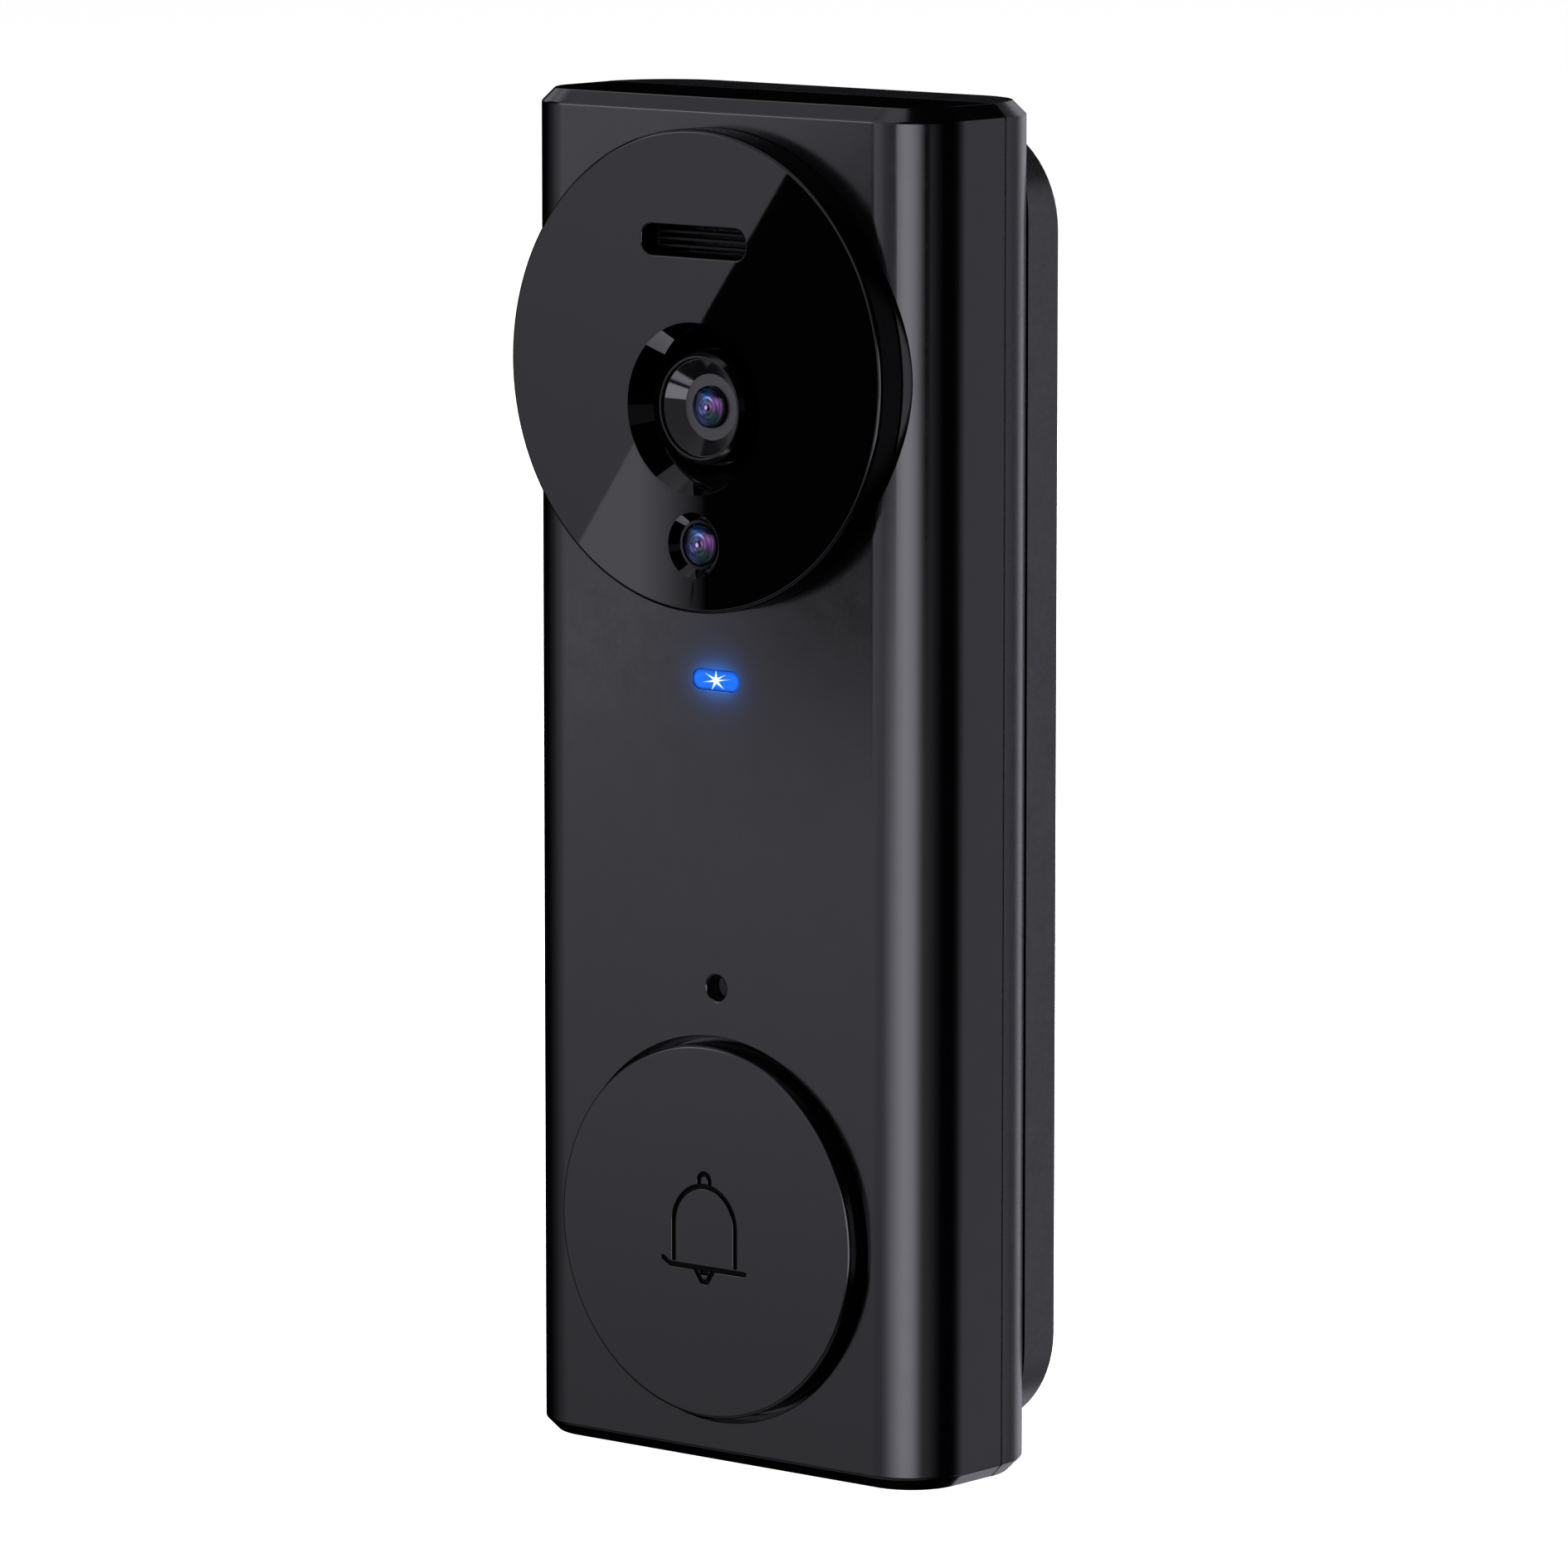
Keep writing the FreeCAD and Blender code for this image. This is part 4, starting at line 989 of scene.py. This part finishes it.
def coil(radius, wire, turns, start, end, z, steps=48, sides=10):
    """Closed mesh of a round wire wound about a line along Y."""
    rows = []
    count = turns * steps
    for i in range(count + 1):
        angle = 2 * math.pi * i / steps
        out = Vector((math.cos(angle), 0, math.sin(angle)))
        middle = radius * out + Vector((0, start + (end - start) * i / count, z))
        turns_round = [2 * math.pi * side / sides for side in range(sides)]
        rows.append([middle + wire * (math.cos(turn) * out + math.sin(turn) * Vector((0, 1, 0)))
                     for turn in turns_round])
    ends = [tuple(range(sides))[::-1], tuple(count * sides + side for side in range(sides))]
    mesh = bpy.data.meshes.new("coil")
    mesh.from_pydata([tuple(point) for row in rows for point in row], [], bands(rows, closed=True) + ends)
    return mesh


def make_button_spring():
    """Coil between the button and the board behind it."""
    spring = place("button_spring")
    z = spring.middle.z
    start, end = spring.low.y + SPRING_WIRE, spring.high.y - SPRING_WIRE
    mesh = coil(spring.size.x / 2 - SPRING_WIRE, SPRING_WIRE, SPRING_TURNS, start, end, z)
    piece = new_piece("button_spring_coil", mesh, FINISHES["spring_steel"])
    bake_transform(piece)
    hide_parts("button_spring")


# ------
# Studio

def aimed(item, location, target):
    """Places something so that its -Z axis points at a target."""
    item.location = location
    item.rotation_euler = (Vector(target) - Vector(location)).to_track_quat("-Z", "Y").to_euler()


def make_camera():
    data = bpy.data.cameras.new("camera")
    data.lens = CAMERA_LENS
    data.sensor_width = SENSOR
    data.clip_start = 0.01
    camera = linked("camera", data)
    aimed(camera, CAMERA_PLACE, CAMERA_TARGET)
    bpy.context.scene.camera = camera


def glowing(name, strength):
    """Plain emission in the studio's tint."""
    material = bpy.data.materials.new(name)
    material.use_nodes = True
    tree = material.node_tree
    tree.nodes.clear()
    light = node(tree, "Emission", [("Color", STUDIO_TINT), ("Strength", strength)])
    output = node(tree, "OutputMaterial")
    tree.links.new(light.outputs[0], output.inputs["Surface"])
    return material


def staged(name, rows, material, camera=False):
    """Sheet of the studio through rows of points, seen by the camera alone, or by all but the camera."""
    mesh = bpy.data.meshes.new(name)
    mesh.from_pydata([tuple(point) for row in rows for point in row], [], bands(rows))
    mesh.materials.append(material)
    sheet = linked(name, mesh)
    sheet.visible_camera = camera
    sheet.visible_diffuse = not camera
    sheet.visible_glossy = not camera
    sheet.visible_transmission = not camera
    sheet.visible_shadow = False
    return sheet


def outward(azimuth, elevation, distance):
    """Point in a direction from the object's middle."""
    around, up = math.radians(azimuth), math.radians(elevation)
    return distance * Vector((math.sin(around) * math.cos(up), -math.cos(around) * math.cos(up),
                              math.sin(up)))


def share_at(stops, angle):
    """Value at an angle between (angle, value) stops."""
    for (start, low), (end, high) in zip(stops, stops[1:]):
        if start <= angle <= end:
            return low + (high - low) * (angle - start) / (end - start)
    return 0.0


def between(stops, step=3.0):
    """Angles from the first stop to the last, about a step apart, with the stops among them."""
    angles = [stops[0][0]]
    for (start, _), (end, _) in zip(stops, stops[1:]):
        count = max(1, round((end - start) / step))
        angles += [start + (end - start) * (i + 1) / count for i in range(count)]
    return angles


def shine(name, rows, strengths, clear=True):
    """Sheet whose light varies from point to point; a clear one adds to what is behind it."""
    material = glowing(name, 1.0)
    tree = material.node_tree
    light = tree.nodes["Emission"]
    strength = node(tree, "Attribute", attribute_name="glow").outputs["Fac"]
    tree.links.new(strength, light.inputs["Strength"])
    if clear:
        through = node(tree, "BsdfTransparent").outputs[0]
        both = node(tree, "AddShader", [(0, light.outputs[0]), (1, through)]).outputs[0]
        tree.links.new(both, tree.nodes["Material Output"].inputs["Surface"])
    sheet = staged(name, rows, material)
    attribute = sheet.data.attributes.new("glow", "FLOAT", "POINT")
    attribute.data.foreach_set("value", [value for row in strengths for value in row])
    return sheet


def shown_in(sheet, names, link="INCLUDE"):
    """Lights the named pieces alone with a sheet, or everything but them."""
    pieces = bpy.data.collections.new(f"{sheet.name}_pieces")
    for name in names:
        pieces.objects.link(bpy.data.objects[name])
    for entry in pieces.collection_objects:
        entry.light_linking.link_state = link
    sheet.light_linking.receiver_collection = pieces


def make_softbox(box):
    around, upwards = between(box.azimuths), between(box.elevations)
    rows = [[outward(azimuth, elevation, SOFTBOX_DISTANCE) for azimuth in around]
            for elevation in upwards]
    strengths = [[box.strength * share_at(box.azimuths, azimuth) * share_at(box.elevations, elevation)
                  for azimuth in around] for elevation in upwards]
    sheet = shine(box.name, rows, strengths)
    if box.only:
        shown_in(sheet, box.only)
    if box.hidden:
        shown_in(sheet, box.hidden, "EXCLUDE")


def mirrored_past_cover(x, z, share):
    """Where the camera's line of sight to a point on the cover's face goes after it is reflected."""
    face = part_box("camera_cover")[0].y
    source = Vector((CAMERA_PLACE[0], 2 * face - CAMERA_PLACE[1], CAMERA_PLACE[2]))
    point = Vector((x * MM, face, z * MM))
    return point + (point - source) * share


def make_flag():
    """Dark flag whose slanting edge and soft left end show in the camera cover."""
    slope = (FLAG_TOP[1] - FLAG_FOOT[1]) / (FLAG_TOP[0] - FLAG_FOOT[0])
    rows = ([], [])
    for x, _ in FLAG_COLUMNS:
        edge = min(FLAG_FOOT[1] + slope * (x - FLAG_FOOT[0]), FLAG_CEILING)
        rows[0].append(mirrored_past_cover(x, min(FLAG_BASE, edge), FLAG_DISTANCE))
        rows[1].append(mirrored_past_cover(x, edge, FLAG_DISTANCE))
    shine("flag", rows, [[light for _, light in FLAG_COLUMNS]] * 2, clear=False)


def area_light(name, location, target, size, power):
    """Lamp that no reflection shows."""
    data = bpy.data.lights.new(name, "AREA")
    data.size = size
    data.energy = power
    lamp = linked(name, data)
    aimed(lamp, location, target)
    lamp.visible_glossy = False
    lamp.visible_camera = False
    return lamp


def make_glow():
    """Soft blue light that the lit status light throws on the housing around it."""
    light = place("status_light_pipe")
    middle = Vector((light.middle.x, light.low.y - GLOW_GAP, light.middle.z)) * MM
    lamp = area_light("status_glow", middle, middle + Vector((0, 1, 0)), GLOW_SIZE[0] * MM, GLOW_POWER)
    lamp.data.shape = "ELLIPSE"
    lamp.data.size_y = GLOW_SIZE[1] * MM
    lamp.data.color = GLOW_COLOUR
    lamp.parent = frame["bodies"]["doorbell"]


def make_floor():
    """Pale floor under the object, which lets the view through from below."""
    material, tree, shader = new_material("floor", Roughness=0.9, Emission_Color=(1, 1, 1, 1),
                                          Emission_Strength=FLOOR_LIGHT)
    shaded(tree, shader, noise(tree, 30.0), (0.78, 0.78, 0.78), (0.82, 0.82, 0.82))
    below = node(tree, "NewGeometry").outputs["Backfacing"]
    clear = node(tree, "BsdfTransparent").outputs[0]
    surface = node(tree, "MixShader", [(0, below), (1, shader.outputs[0]), (2, clear)]).outputs[0]
    tree.links.new(surface, tree.nodes["Material Output"].inputs["Surface"])
    sides = (-FLOOR_REACH, FLOOR_REACH)
    staged("floor", [[(x, y, cad_box[0].z) for x in sides] for y in sides], material, camera=True)


def make_backdrop():
    """White surround that only the camera sees."""
    rows = [[outward(azimuth, elevation, BACKDROP_DISTANCE) for azimuth in range(0, 361, 15)]
            for elevation in range(-90, 91, 15)]
    staged("backdrop", rows, glowing("backdrop_white", BACKDROP_LIGHT), camera=True)


def make_studio():
    world = bpy.data.worlds.new("world")
    bpy.context.scene.world = world
    world.use_nodes = True
    world.node_tree.nodes["Background"].inputs["Strength"].default_value = 0.0
    bpy.context.scene.view_settings.view_transform = "Standard"
    make_floor()
    make_backdrop()
    for box in SOFTBOXES:
        make_softbox(box)
    make_flag()
    for name, (azimuth, elevation, distance, size, power) in AREA_LIGHTS.items():
        area_light(name, outward(azimuth, elevation, distance), (0, 0, 0), size, power)
    make_glow()


def finish_cad_nodes():
    """Gives each CAD node that is shown the finish of its own slot."""
    for item in frame["nodes"].values():
        slot = item.data.materials[0].name
        if slot in FINISHES:
            item.data.materials[0] = FINISHES[slot]


def make_pieces():
    finish_cad_nodes()
    make_front_shell()
    make_camera_cover()
    make_speaker_grille()
    make_lens_bezel()
    make_lens_barrel()
    make_lens_retainer()
    make_front_lens()
    make_lower_lens()
    make_status_light()
    make_bell_button()
    make_button_spring()


make_camera()
make_pieces()
make_studio()
